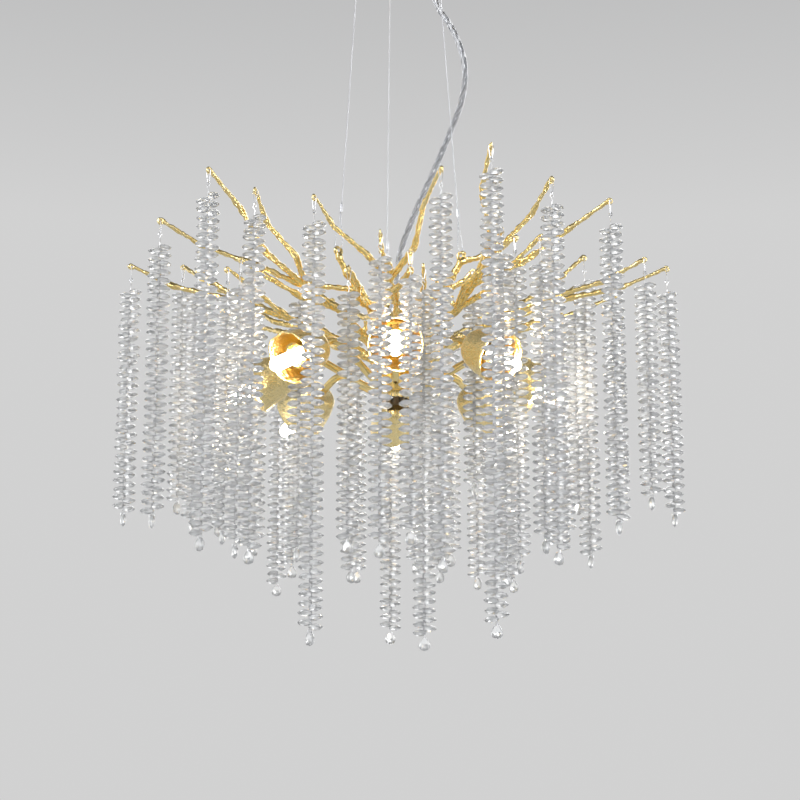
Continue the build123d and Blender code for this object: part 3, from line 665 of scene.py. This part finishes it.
def wire_rope():
    """Steel rope of fine wires: slanted ridges from a wave texture."""
    material, tree, shader = new_material("wire_rope", Metallic=1.0)
    place = linked(tree, "ShaderNodeTexCoord").outputs["Object"]
    turned = linked(tree, "ShaderNodeMapping", {"Vector": place, "Rotation": (0.6, 0.5, 0.0)})
    wave = linked(
        tree,
        "ShaderNodeTexWave",
        {"Vector": turned.outputs[0], "Scale": 420.0, "Distortion": 0.6},
    )
    colour = ramp(tree, wave.outputs["Fac"], [(0.1, SILVER_DULL), (0.7, SILVER)])
    tree.links.new(colour, shader["Base Color"])
    tree.links.new(spread(tree, wave.outputs["Fac"], 0.34, 0.22), shader["Roughness"])
    tree.links.new(relief(tree, wave.outputs["Fac"], 0.0002), shader["Normal"])
    return material


def ceramic():
    material, tree, shader = new_material("ceramic", Coat_Weight=0.4)
    mottling = placed(tree, MOTTLING, patch_scale=90.0, grain_scale=1200.0)
    colour = ramp(tree, mottling["Patches"], [(0.3, CERAMIC_SHADE), (0.7, CERAMIC)])
    tree.links.new(colour, shader["Base Color"])
    tree.links.new(spread(tree, mottling["Grain"], 0.25, 0.4), shader["Roughness"])
    tree.links.new(relief(tree, mottling["Grain"], 0.00005), shader["Normal"])
    return material


# %% [markdown]
# ## Glass
# Crystal is a clear glass with a high index. Its life comes from flat facets, which
# the mesh has, and some scattered white makes it glow beside the lamps. The cord's
# jacket is a softer clear plastic. A lit bulb is white light with a warm edge.

# %% Crystal, clear jacket and lit bulbs
CRYSTAL_TINT = (1.0, 1.0, 1.0, 1)
CRYSTAL_SHADE = (0.93, 0.95, 0.97, 1)
BULB_CORE = (1.0, 0.93, 0.80, 1)
BULB_EDGE = (1.0, 0.80, 0.54, 1)
BULB_STRENGTH = 36.0


def crystal():
    material, tree, shader = new_material("crystal", Transmission_Weight=0.70, IOR=1.6)
    mottling = placed(tree, MOTTLING, patch_scale=200.0, grain_scale=1500.0)
    colour = ramp(tree, mottling["Patches"], [(0.3, CRYSTAL_SHADE), (0.6, CRYSTAL_TINT)])
    tree.links.new(colour, shader["Base Color"])
    tree.links.new(spread(tree, mottling["Grain"], 0.0, 0.04), shader["Roughness"])
    return material


def cord_jacket():
    material, tree, shader = new_material("cord_jacket", Transmission_Weight=1.0, IOR=1.45)
    mottling = placed(tree, MOTTLING, patch_scale=60.0, grain_scale=900.0)
    colour = ramp(tree, mottling["Patches"], [(0.3, SILVER), (0.7, CRYSTAL_TINT)])
    tree.links.new(colour, shader["Base Color"])
    tree.links.new(spread(tree, mottling["Grain"], 0.04, 0.12), shader["Roughness"])
    return material


def lit_bulb():
    material, tree, shader = new_material(
        "lit_bulb", Roughness=0.2, Emission_Strength=BULB_STRENGTH
    )
    facing = linked(tree, "ShaderNodeLayerWeight", {"Blend": 0.35})
    glow = ramp(tree, facing.outputs["Facing"], [(0.35, BULB_CORE), (0.95, BULB_EDGE)])
    mottling = placed(tree, MOTTLING, patch_scale=70.0, grain_scale=900.0)
    glass = ramp(tree, mottling["Patches"], [(0.3, BULB_CORE), (0.7, CRYSTAL_TINT)])
    tree.links.new(glass, shader["Base Color"])
    tree.links.new(glow, shader["Emission Color"])
    return material


def pale_floor():
    material, tree, shader = new_material("pale_floor")
    mottling = placed(tree, MOTTLING, patch_scale=1.5, grain_scale=60.0)
    lighter = tuple(min(1.0, c * FLOOR_MOTTLE) for c in FLOOR_PALE[:3]) + (1,)
    colour = ramp(tree, mottling["Patches"], [(0.3, FLOOR_PALE), (0.7, lighter)])
    tree.links.new(colour, shader["Base Color"])
    tree.links.new(spread(tree, mottling["Grain"], 0.55, 0.7), shader["Roughness"])
    return material


POLISHED = polished_gold()
TWIG = twig_gold()
HAMMERED = hammered_gold()
SILVER_WIRE = plain_metal("silver_wire", SILVER_DULL, SILVER, (0.14, 0.26))
# painted light: the thread is the clip's silver wire, given a brighter silver because it lies in
# the crystal's dark
THREAD_SILVER_PAINTED_LIGHT = plain_metal("thread_wire_painted_light", SILVER, SILVER_PAINTED_LIGHT, (0.40, 0.50))
STEEL = plain_metal("steel", SILVER_DULL, SILVER, (0.22, 0.36))
ZINC_SHEET = plain_metal("zinc_sheet", ZINC_BLUE, ZINC, (0.32, 0.5), patch_scale=260.0)
DARK_BRONZE = plain_metal("dark_bronze", BRONZE, BRONZE_WORN, (0.28, 0.45))
ROPE = wire_rope()
CERAMIC_GLAZE = ceramic()
CRYSTAL = crystal()
JACKET = cord_jacket()
LIT = lit_bulb()
floor.data.materials.append(pale_floor())
print("materials:", len(bpy.data.materials))

# %% [markdown]
# ## Parts that keep their construction mesh
# Turned, stamped and cast parts are right as they are and only need their finish.
# A narrow bevel catches light along their edges, as on any real edge. The bevel is
# a modifier, so the frame's own mesh stays as it was packed.

# %% Finish the kept parts
KEPT = {
    # part: material, bevel in millimetres
    "ceiling_canopy": (POLISHED, 0.5),
    "canopy_bracket": (ZINC_SHEET, 0.25),
    "canopy_studs": (POLISHED, 0.2),
    "cable_grips": (STEEL, 0.25),
    "cord_glands": (STEEL, 0.4),
    "hub_column": (POLISHED, 0.35),
    "hub_nut": (DARK_BRONZE, 0.3),
    "lamp_arms": (POLISHED, 0.0),
    "lamp_sleeves": (POLISHED, 0.25),
    "lamp_holders": (CERAMIC_GLAZE, 0.3),
}
BEVEL_ANGLE = math.radians(35)
WELD_DISTANCE = 0.00001


def finish_part(name, material, bevel):
    """Give a part its material and, where asked, a narrow bevel along its edges."""
    part = nodes[name]
    part.data.materials.clear()
    part.data.materials.append(material)
    if bevel:
        weld = part.modifiers.new("weld", "WELD")
        weld.merge_threshold = WELD_DISTANCE
        edge = part.modifiers.new("edges", "BEVEL")
        edge.width = bevel * MM
        edge.segments = 2
        edge.limit_method = "ANGLE"
        edge.angle_limit = BEVEL_ANGLE
        edge.harden_normals = True


for name, (material, bevel) in KEPT.items():
    finish_part(name, material, bevel)
print("finished", len(KEPT), "kept parts")

# %% [markdown]
# ## Cast twigs
# The crown's twigs are castings of real-looking wood: round, knotty and covered in
# small ridges, with no edge that was cut. The frame has them as eight-sided bars.
# A voxel remesh melts bars, rings and knots into one skin, smoothing rounds it, and
# two displacements of different size push knots and bark out of it.

# %% Grow bark on the twigs
TWIG_NODES = ("front_boughs", "right_boughs", "back_boughs", "left_boughs", "upright_stems")
TWIG_VOXEL = 0.0008
KNOT_SIZE, KNOT_HEIGHT = 0.009, 0.0028
BARK_SIZE, BARK_HEIGHT = 0.0042, 0.0010
NO_PUSH = 0.40               # texture value that leaves the skin in its place
SMOOTHINGS = 2


def bark_texture(name, kind, size):
    texture = bpy.data.textures.new(name, kind)
    texture.noise_scale = size
    return texture


def grow_bark(name, knots, bark):
    """One rounded skin over the bars of a casting, with knots and bark pushed out of it."""
    part = nodes[name]
    part.data.materials.clear()
    part.data.materials.append(TWIG)
    skin = part.modifiers.new("skin", "REMESH")
    skin.mode = "VOXEL"
    skin.voxel_size = TWIG_VOXEL
    skin.use_smooth_shade = True
    rounded = part.modifiers.new("rounded", "SMOOTH")
    rounded.factor = 0.5
    rounded.iterations = SMOOTHINGS
    for label, texture, height in (("knots", knots, KNOT_HEIGHT), ("bark", bark, BARK_HEIGHT)):
        push = part.modifiers.new(label, "DISPLACE")
        push.texture = texture
        push.texture_coords = "LOCAL"
        push.strength = height
        push.mid_level = NO_PUSH


knot_texture = bark_texture("knot_noise", "CLOUDS", KNOT_SIZE)
ridge_texture = bark_texture("bark_ridges", "VORONOI", BARK_SIZE)
for name in TWIG_NODES:
    grow_bark(name, knot_texture, ridge_texture)
print("twigs:", ", ".join(TWIG_NODES))

# %% [markdown]
# ## One crystal bead
# A bead is a flat pear that swells to its wide end, drilled near its narrow end and
# cut with two rows of facets above and below its edge. Its rings all come from one
# pear outline, drawn in towards a point near the hole, and each ring stands half a
# step off the one before, so that the faces between them are kite-like triangles,
# as on a cut stone. The edge is thin, so a bead seen from the side ends in a point.

# %% Build the bead
BEAD_SIDES = 10
BEAD_NARROW = -2.0           # ends of the outline, in millimetres from the hole
BEAD_TIP = 12.2
BEAD_HALF_WIDTH = 5.8
PEAR_FULLNESS = 0.80
PEAR_TAPER = 0.32            # how much fuller the wide half is than the narrow one
PEAR_WIDEST = 0.86           # what the two give at the widest place
BEAD_HALF_THICK = 2.1        # at the hole
BEAD_SWELL = 0.16            # rise of each face per millimetre towards the wide end
BEAD_HOLE = 0.5
BEAD_CENTRE = -0.6           # the point that the rings are drawn in to
BEAD_RINGS = ((1.0, 0.08), (0.82, 0.58), (0.56, 1.0))  # size, share of the height


def pear(turn):
    """Point of the pear outline: narrow and round at the hole, widest past the middle."""
    along = 0.5 - 0.5 * math.cos(turn)
    x = BEAD_NARROW + (BEAD_TIP - BEAD_NARROW) * along
    swell = math.sin(turn) * (PEAR_FULLNESS - PEAR_TAPER * math.cos(turn))
    return x, BEAD_HALF_WIDTH * swell / PEAR_WIDEST


def bead_mesh():
    """Corners and triangles of one bead in millimetres, its hole along Z at the origin."""
    points, faces = [], []

    def height_at(x):
        return BEAD_HALF_THICK + BEAD_SWELL * x

    def add(triangles, flip):
        faces.extend(tuple(reversed(f)) if flip else f for f in triangles)

    def ring(size, share, offset):
        """The outline drawn in to a size, turned on by a share of a step."""
        first = len(points)
        for k in range(BEAD_SIDES):
            x, y = pear(2 * math.pi * (k + offset) / BEAD_SIDES)
            x = BEAD_CENTRE + size * (x - BEAD_CENTRE)
            points.append((x, size * y, share * height_at(x)))
        return first

    def band(lower, upper, flip, ahead):
        """Triangles between two rings; ahead picks the diagonal that suits their turn."""
        for k in range(BEAD_SIDES):
            after = (k + 1) % BEAD_SIDES
            a, b = lower + k, lower + after
            c, d = upper + k, upper + after
            add([(a, b, c), (b, d, c)] if ahead else [(a, d, c), (a, b, d)], flip)

    def drilled(table, hole, flip):
        """Flat face between the inner ring and the round hole."""
        around = [table + k for k in range(BEAD_SIDES)]
        inside = [hole + k for k in range(BEAD_SIDES)]
        for k in range(BEAD_SIDES):
            after = (k + 1) % BEAD_SIDES
            outer_half = (around[k], around[after], inside[k])
            inner_half = (around[after], inside[after], inside[k])
            add([outer_half, inner_half], flip)

    def hole_ring(side):
        first = len(points)
        for k in range(BEAD_SIDES):
            x, y = pear(2 * math.pi * k / BEAD_SIDES)
            turn = math.atan2(y, x - BEAD_CENTRE)
            x, y = BEAD_HOLE * math.cos(turn), BEAD_HOLE * math.sin(turn)
            points.append((x, y, side * height_at(x)))
        return first

    holes, edges = [], []
    for side in (1, -1):
        flip = side > 0
        rings = [
            ring(size, side * share, 0.5 * (i % 2))
            for i, (size, share) in enumerate(BEAD_RINGS)
        ]
        band(rings[0], rings[1], flip, True)
        band(rings[1], rings[2], flip, False)
        hole = hole_ring(side)
        drilled(rings[2], hole, flip)
        holes.append(hole)
        edges.append(rings[0])
    band(edges[1], edges[0], True, True)
    band(holes[0], holes[1], True, True)
    return np.array(points) * MM, np.array(faces)


bead_points, bead_faces = bead_mesh()
print("bead:", len(bead_points), "corners,", len(bead_faces), "facets")

# %% [markdown]
# ## Reading a strand apart
# Each strand of the frame is one part that holds a clip, a link, a thread and its
# beads. They don't touch each other, so following faces from corner to corner
# splits the part into its shells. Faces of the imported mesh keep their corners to
# themselves; equal places are joined by rounding them first.

# %% Split a part into shells
def shells(part):
    """List of (corner places, triangles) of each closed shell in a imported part."""
    mesh = part.data
    places = np.zeros(len(mesh.vertices) * 3)
    mesh.vertices.foreach_get("co", places)
    rounded = np.round(places.reshape(-1, 3), 6)
    corners, joined = np.unique(rounded, axis=0, return_inverse=True)
    joined = joined.reshape(-1)
    mesh.calc_loop_triangles()
    triangles = np.zeros(len(mesh.loop_triangles) * 3, dtype=np.int64)
    mesh.loop_triangles.foreach_get("vertices", triangles)
    triangles = joined[triangles.reshape(-1, 3)]
    label = np.arange(len(corners))
    while True:
        least = label[triangles].min(axis=1)
        before = label.copy()
        for k in range(3):
            np.minimum.at(label, triangles[:, k], least)
        label = label[label]
        if np.array_equal(label, before):
            break
    found = []
    for mark in np.unique(label[triangles[:, 0]]):
        chosen = triangles[label[triangles[:, 0]] == mark]
        used, numbered = np.unique(chosen, return_inverse=True)
        found.append((corners[used], numbered.reshape(-1, 3)))
    return found


# %% [markdown]
# ## Rebuilding a strand
# A shell that is wide from above is a bead; the others are bent wire. The thread is
# the tallest wire, and it runs down the strand's axis. Each bead points away
# from that axis, so its own middle tells which way it is turned. The last bead
# hangs on its side in the thread's loop. The new beads take those places, each
# tipped a little as its loose hole lets it, and the wires are carried over as they
# are. The thread is a duller silver than the clip, and its brighter colour is
# painted light: it shows only through the crystal, which would make a dark line
# of a mirror-like one.

# %% Strand pieces
BEAD_SPREAD = 0.0075         # every bead is wider than this from above, no wire is
STACKED_HEIGHT = 0.010       # a bead that lies in the stack is lower than this
BEAD_TIP_UP = math.radians(4)  # the most that a bead tips up or down
chance = random.Random(7)


def is_bead(corners):
    return np.ptp(corners[:, :2], axis=0).max() > BEAD_SPREAD


def bead_placement(corners, axis):
    """Matrix that puts the new bead where a frame bead is."""
    middle = (corners.max(axis=0) + corners.min(axis=0)) / 2
    size = np.ptp(corners, axis=0)
    if size[2] < STACKED_HEIGHT:
        lean = corners.mean(axis=0)[:2] - axis
        turn = math.atan2(lean[1], lean[0])
        place = Vector((axis[0], axis[1], middle[2]))
        tip = Matrix.Rotation(chance.uniform(-BEAD_TIP_UP, BEAD_TIP_UP), 4, "Y")
        return Matrix.Translation(place) @ Matrix.Rotation(turn, 4, "Z") @ tip
    # the hanging bead: its thinnest direction is the way its hole runs
    flat = corners[:, :2] - corners[:, :2].mean(axis=0)
    _, _, directions = np.linalg.svd(flat, full_matrices=False)
    face = math.atan2(directions[1][1], directions[1][0])
    top = corners[:, 2].max() + BEAD_NARROW * MM
    place = Vector((middle[0], middle[1], top))
    return Matrix.Translation(place) @ Matrix.Rotation(face, 4, "Z") @ Matrix.Rotation(
        math.pi / 2, 4, "Y"
    )


def strand_shells(name):
    """The new strand's beads and wires as (corners, triangles, material), and its bead count."""
    found = shells(nodes[name])
    wires = [s for s in found if not is_bead(s[0])]
    beads = [s for s in found if is_bead(s[0])]
    thread = max(wires, key=lambda s: np.ptp(s[0][:, 2]))
    axis = np.median(thread[0][:, :2], axis=0)
    made = []
    for corners, _ in beads:
        matrix = np.array(bead_placement(corners, axis))
        made.append((bead_points @ matrix[:3, :3].T + matrix[:3, 3], bead_faces, 0))
    for corners, triangles in wires:
        made.append((corners, triangles, 2 if corners is thread[0] else 1))
    return made, len(beads)


def strand_piece(name):
    """New strand in the place of a frame strand; returns the number of its beads."""
    made, beads = strand_shells(name)
    points, faces, slots = [], [], []
    start = 0
    for corners, triangles, slot in made:
        points.append(corners)
        faces.append(triangles + start)
        slots.append(np.full(len(triangles), slot, dtype=np.int32))
        start += len(corners)
    mesh = bpy.data.meshes.new(name.replace("bead_", "crystal_"))
    mesh.from_pydata(np.concatenate(points).tolist(), [], np.concatenate(faces).tolist())
    for material in (CRYSTAL, SILVER_WIRE, THREAD_SILVER_PAINTED_LIGHT):
        mesh.materials.append(material)
    mesh.polygons.foreach_set("material_index", np.concatenate(slots))
    piece = add_object(mesh.name, mesh)
    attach(piece, nodes[name]["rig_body"])
    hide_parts(name)
    return beads


strand_names = sorted(name for name in nodes if name.startswith("bead_strand"))
bead_count = sum(strand_piece(name) for name in strand_names)
print("strands:", len(strand_names), "with", bead_count, "beads")

# %% [markdown]
# ## Turned forms for the lamps
# The eight lamps are alike, so one is modelled along its own axis and set round the
# hub eight times. A turned form is a list of rings; the helper below makes one and
# leaves the place of each point to a function, which can then dent or wave it.

# %% Lamp places and a helper for turned forms
LAMPS = 8
LAMP_TILT = math.radians(30)
LAMP_RADIUS = 0.112
LAMP_HEIGHT = 0.0334


def lamp_matrix(number):
    """Place of a lamp: its own Z axis points out along the bulb."""
    along = Vector((math.cos(LAMP_TILT), 0, -math.sin(LAMP_TILT)))
    side = Vector((0, 1, 0))
    up = along.cross(side)
    place = Matrix((side, up, along)).transposed().to_4x4()
    place.translation = Vector((LAMP_RADIUS, 0, LAMP_LEVEL + LAMP_HEIGHT))
    return Matrix.Rotation(2 * math.pi * number / LAMPS, 4, "Z") @ place


def turned_mesh(name, rings, around, place):
    """Mesh of rings closed by a middle point at each end; place(ring, turn) gives a point."""
    points = []
    faces = []
    for ring in rings:
        for k in range(around):
            points.append(place(ring, 2 * math.pi * k / around))
    for i in range(len(rings) - 1):
        for k in range(around):
            after = (k + 1) % around
            near, far = i * around, (i + 1) * around
            faces.append((near + k, near + after, far + after, far + k))
    for ring, first in ((rings[0], 0), (rings[-1], (len(rings) - 1) * around)):
        middle = len(points)
        points.append(Vector((0, 0, place(ring, 0.0).z)))
        for k in range(around):
            after = (k + 1) % around
            corner = (first + k, middle, first + after)
            faces.append(corner if first == 0 else tuple(reversed(corner)))
    mesh = bpy.data.meshes.new(name)
    mesh.from_pydata(points, [], faces)
    mesh.shade_smooth()
    return mesh


def set_round(name, mesh, material, replaced):
    """One piece of this mesh for each lamp."""
    mesh.materials.append(material)
    for number in range(LAMPS):
        piece = add_object(f"{name}_{number + 1}", mesh)
        piece.matrix_world = lamp_matrix(number)
        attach(piece, BODY)
        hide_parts(replaced)


# %% [markdown]
# ## Hammered bowls
# Each lamp sits in a small bowl of thin gilded sheet, beaten over a stake: its wall
# is full of shallow dents and its rim was never trimmed true. The dents are in the
# mesh, from a cell noise; the fine ones are in the material.

# %% Model the bowls
BOWL_NECK = 0.014
BOWL_MOUTH = 0.028
BOWL_DEPTH = 0.044
BOWL_WALL = 0.0012
BOWL_STEPS = 26
BOWL_AROUND = 120
BOWL_CURVE = 0.42            # how quickly the wall opens from the neck
DENT_SIZE = 0.0058
DENT_DEPTH = 0.0011
DENT_LEVEL = 0.55            # distance from a cell's middle where the wall isn't moved
DENTS_FULL = 0.25            # share of the depth from which dents are at full depth
RIM_WAVE = 0.0016
WAVE_CIRCLE = 2.2            # radius of the rim in the noise: more gives more waves
WAVE_PLACE = 7.3             # height in the noise at which they are read
RINGS_CLOSER = 1.6           # how much closer the rings stand at the neck


def bowl_radius(share):
    return BOWL_NECK + (BOWL_MOUTH - BOWL_NECK) * share**BOWL_CURVE


def bowl_point(ring, turn):
    """ring is (share of the depth, how far inside the outer face)."""
    share, inside = ring
    level = Vector((math.cos(turn), math.sin(turn), 0))
    wave = noise.noise(level * WAVE_CIRCLE + Vector((0, 0, WAVE_PLACE)))
    depth = share * BOWL_DEPTH + wave * RIM_WAVE * share**3
    radius = bowl_radius(share) - inside
    rise = Vector((0, 0, max(depth, inside)))
    nearest = noise.voronoi((level * radius + rise) / DENT_SIZE)[0]
    dent = DENT_DEPTH * min(1.0, share / DENTS_FULL) * (DENT_LEVEL - nearest[0])
    return level * (radius - dent + wave * RIM_WAVE * share) + rise


def bowl_rings():
    """Up the outer face from the neck, then back down the inner one."""
    outer = [((k / BOWL_STEPS) ** RINGS_CLOSER, 0.0) for k in range(BOWL_STEPS + 1)]
    inner = [(share, BOWL_WALL) for share, _ in reversed(outer)]
    return outer + inner


bowl = turned_mesh("hammered_bowl", bowl_rings(), BOWL_AROUND, bowl_point)
set_round("hammered_bowl", bowl, HAMMERED, "lamp_shades")
print("bowls:", LAMPS, "of", len(bowl.polygons), "faces")

# %% [markdown]
# ## Capsule bulbs
# A capsule bulb is a small glass thimble with a pinched foot. It is lit, so what
# shows is light rather than glass.

# %% Model the bulbs
BULB_RADIUS = 0.007
BULB_FOOT = 0.0222
BULB_LENGTH = 0.050
BULB_NECK = 0.005
BULB_SHOULDER = 0.006
BULB_SHOULDER_STEPS = 5
BULB_AROUND = 32
BULB_DOME_STEPS = 10


def bulb_rings():
    """Rings as (radius, distance along the bulb)."""
    rings = [(BULB_NECK, BULB_FOOT), (BULB_NECK, BULB_FOOT + BULB_SHOULDER / 2)]
    for k in range(1, BULB_SHOULDER_STEPS + 1):
        share = k / BULB_SHOULDER_STEPS
        blend = share * share * (3 - 2 * share)
        radius = BULB_NECK + (BULB_RADIUS - BULB_NECK) * blend
        rings.append((radius, BULB_FOOT + BULB_SHOULDER / 2 * (1 + share)))
    centre = BULB_FOOT + BULB_LENGTH - BULB_RADIUS
    for k in range(BULB_DOME_STEPS):
        a = math.pi / 2 * k / BULB_DOME_STEPS
        rings.append((BULB_RADIUS * math.cos(a), centre + BULB_RADIUS * math.sin(a)))
    return rings


def bulb_point(ring, turn):
    radius, along = ring
    return Vector((radius * math.cos(turn), radius * math.sin(turn), along))


bulb = turned_mesh("capsule_bulb", bulb_rings(), BULB_AROUND, bulb_point)
set_round("capsule_bulb", bulb, LIT, "lamp_bulbs")
print("bulbs:", LAMPS)

# %% [markdown]
# ## Crimped ferrules
# A soft metal sleeve holds both runs of a wire above its loop. It is oval, and
# pressed in three places, where it is thinner.

# %% Model the ferrules
FERRULE_SPAN = (0.043, 0.053)
FERRULE_RADIUS = 0.0019
FERRULE_AROUND = 20
FERRULE_RINGS = 28
FERRULE_OVAL = 0.12
CRIMPS = 3
CRIMP_DEPTH = 0.16
CRIMP_TAPER = 0.2            # share of a crimp's depth that the other way loses
CRIMP_START = 0.25           # of a turn of the wave that presses them
END_ROUND = 0.12             # how much narrower the sleeve is at its very ends
END_SHARE = 0.15             # share of its half length over which it narrows


def ferrule_point(ring, turn):
    """ring runs from 0 to 1 along the sleeve."""
    foot, top = FERRULE_SPAN
    wave = math.sin(2 * math.pi * (CRIMPS * ring - CRIMP_START))
    pressed = max(0.0, wave) ** 2 * CRIMP_DEPTH
    past = max(0.0, abs(2 * ring - 1) - (1 - END_SHARE)) / END_SHARE
    radius = FERRULE_RADIUS * (1.0 - END_ROUND * past)
    x = radius * (1.0 - CRIMP_TAPER * pressed) * math.cos(turn)
    y = radius * (1.0 - FERRULE_OVAL - pressed) * math.sin(turn)
    return Vector((x, y, foot + (top - foot) * ring))


def ferrule_piece(number, azimuth):
    rings = [k / FERRULE_RINGS for k in range(FERRULE_RINGS + 1)]
    mesh = turned_mesh(f"ferrule_{number}", rings, FERRULE_AROUND, ferrule_point)
    mesh.materials.append(STEEL)
    piece = add_object(mesh.name, mesh)
    up, across = cable_up(azimuth), cable_across(azimuth)
    place = Matrix((across, up.cross(across), up)).transposed().to_4x4()
    place.translation = lug_place(azimuth)
    piece.matrix_world = place
    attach(piece, BODY)
    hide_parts("cable_ferrules")
    return piece


ferrules = [ferrule_piece(n, azimuth) for n, azimuth in enumerate(CABLE_AZIMUTHS, start=1)]
print("ferrules:", len(ferrules))

# %% [markdown]
# ## Fasten the cords
# The cords get their finish and take the place of the plain tubes in the frame.

power_cord.data.materials.append(JACKET)
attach(power_cord, BODY)
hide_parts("power_cord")
for core in cord_cores:
    core.data.materials.append(ROPE)
    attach(core, BODY)
for azimuth, cable, sleeve in zip(CABLE_AZIMUTHS, cables, ferrules):
    cable.data.materials.append(ROPE)
    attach(cable, BODY)
    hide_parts("suspension_cables")
print("cords declared:", 1 + len(cables))
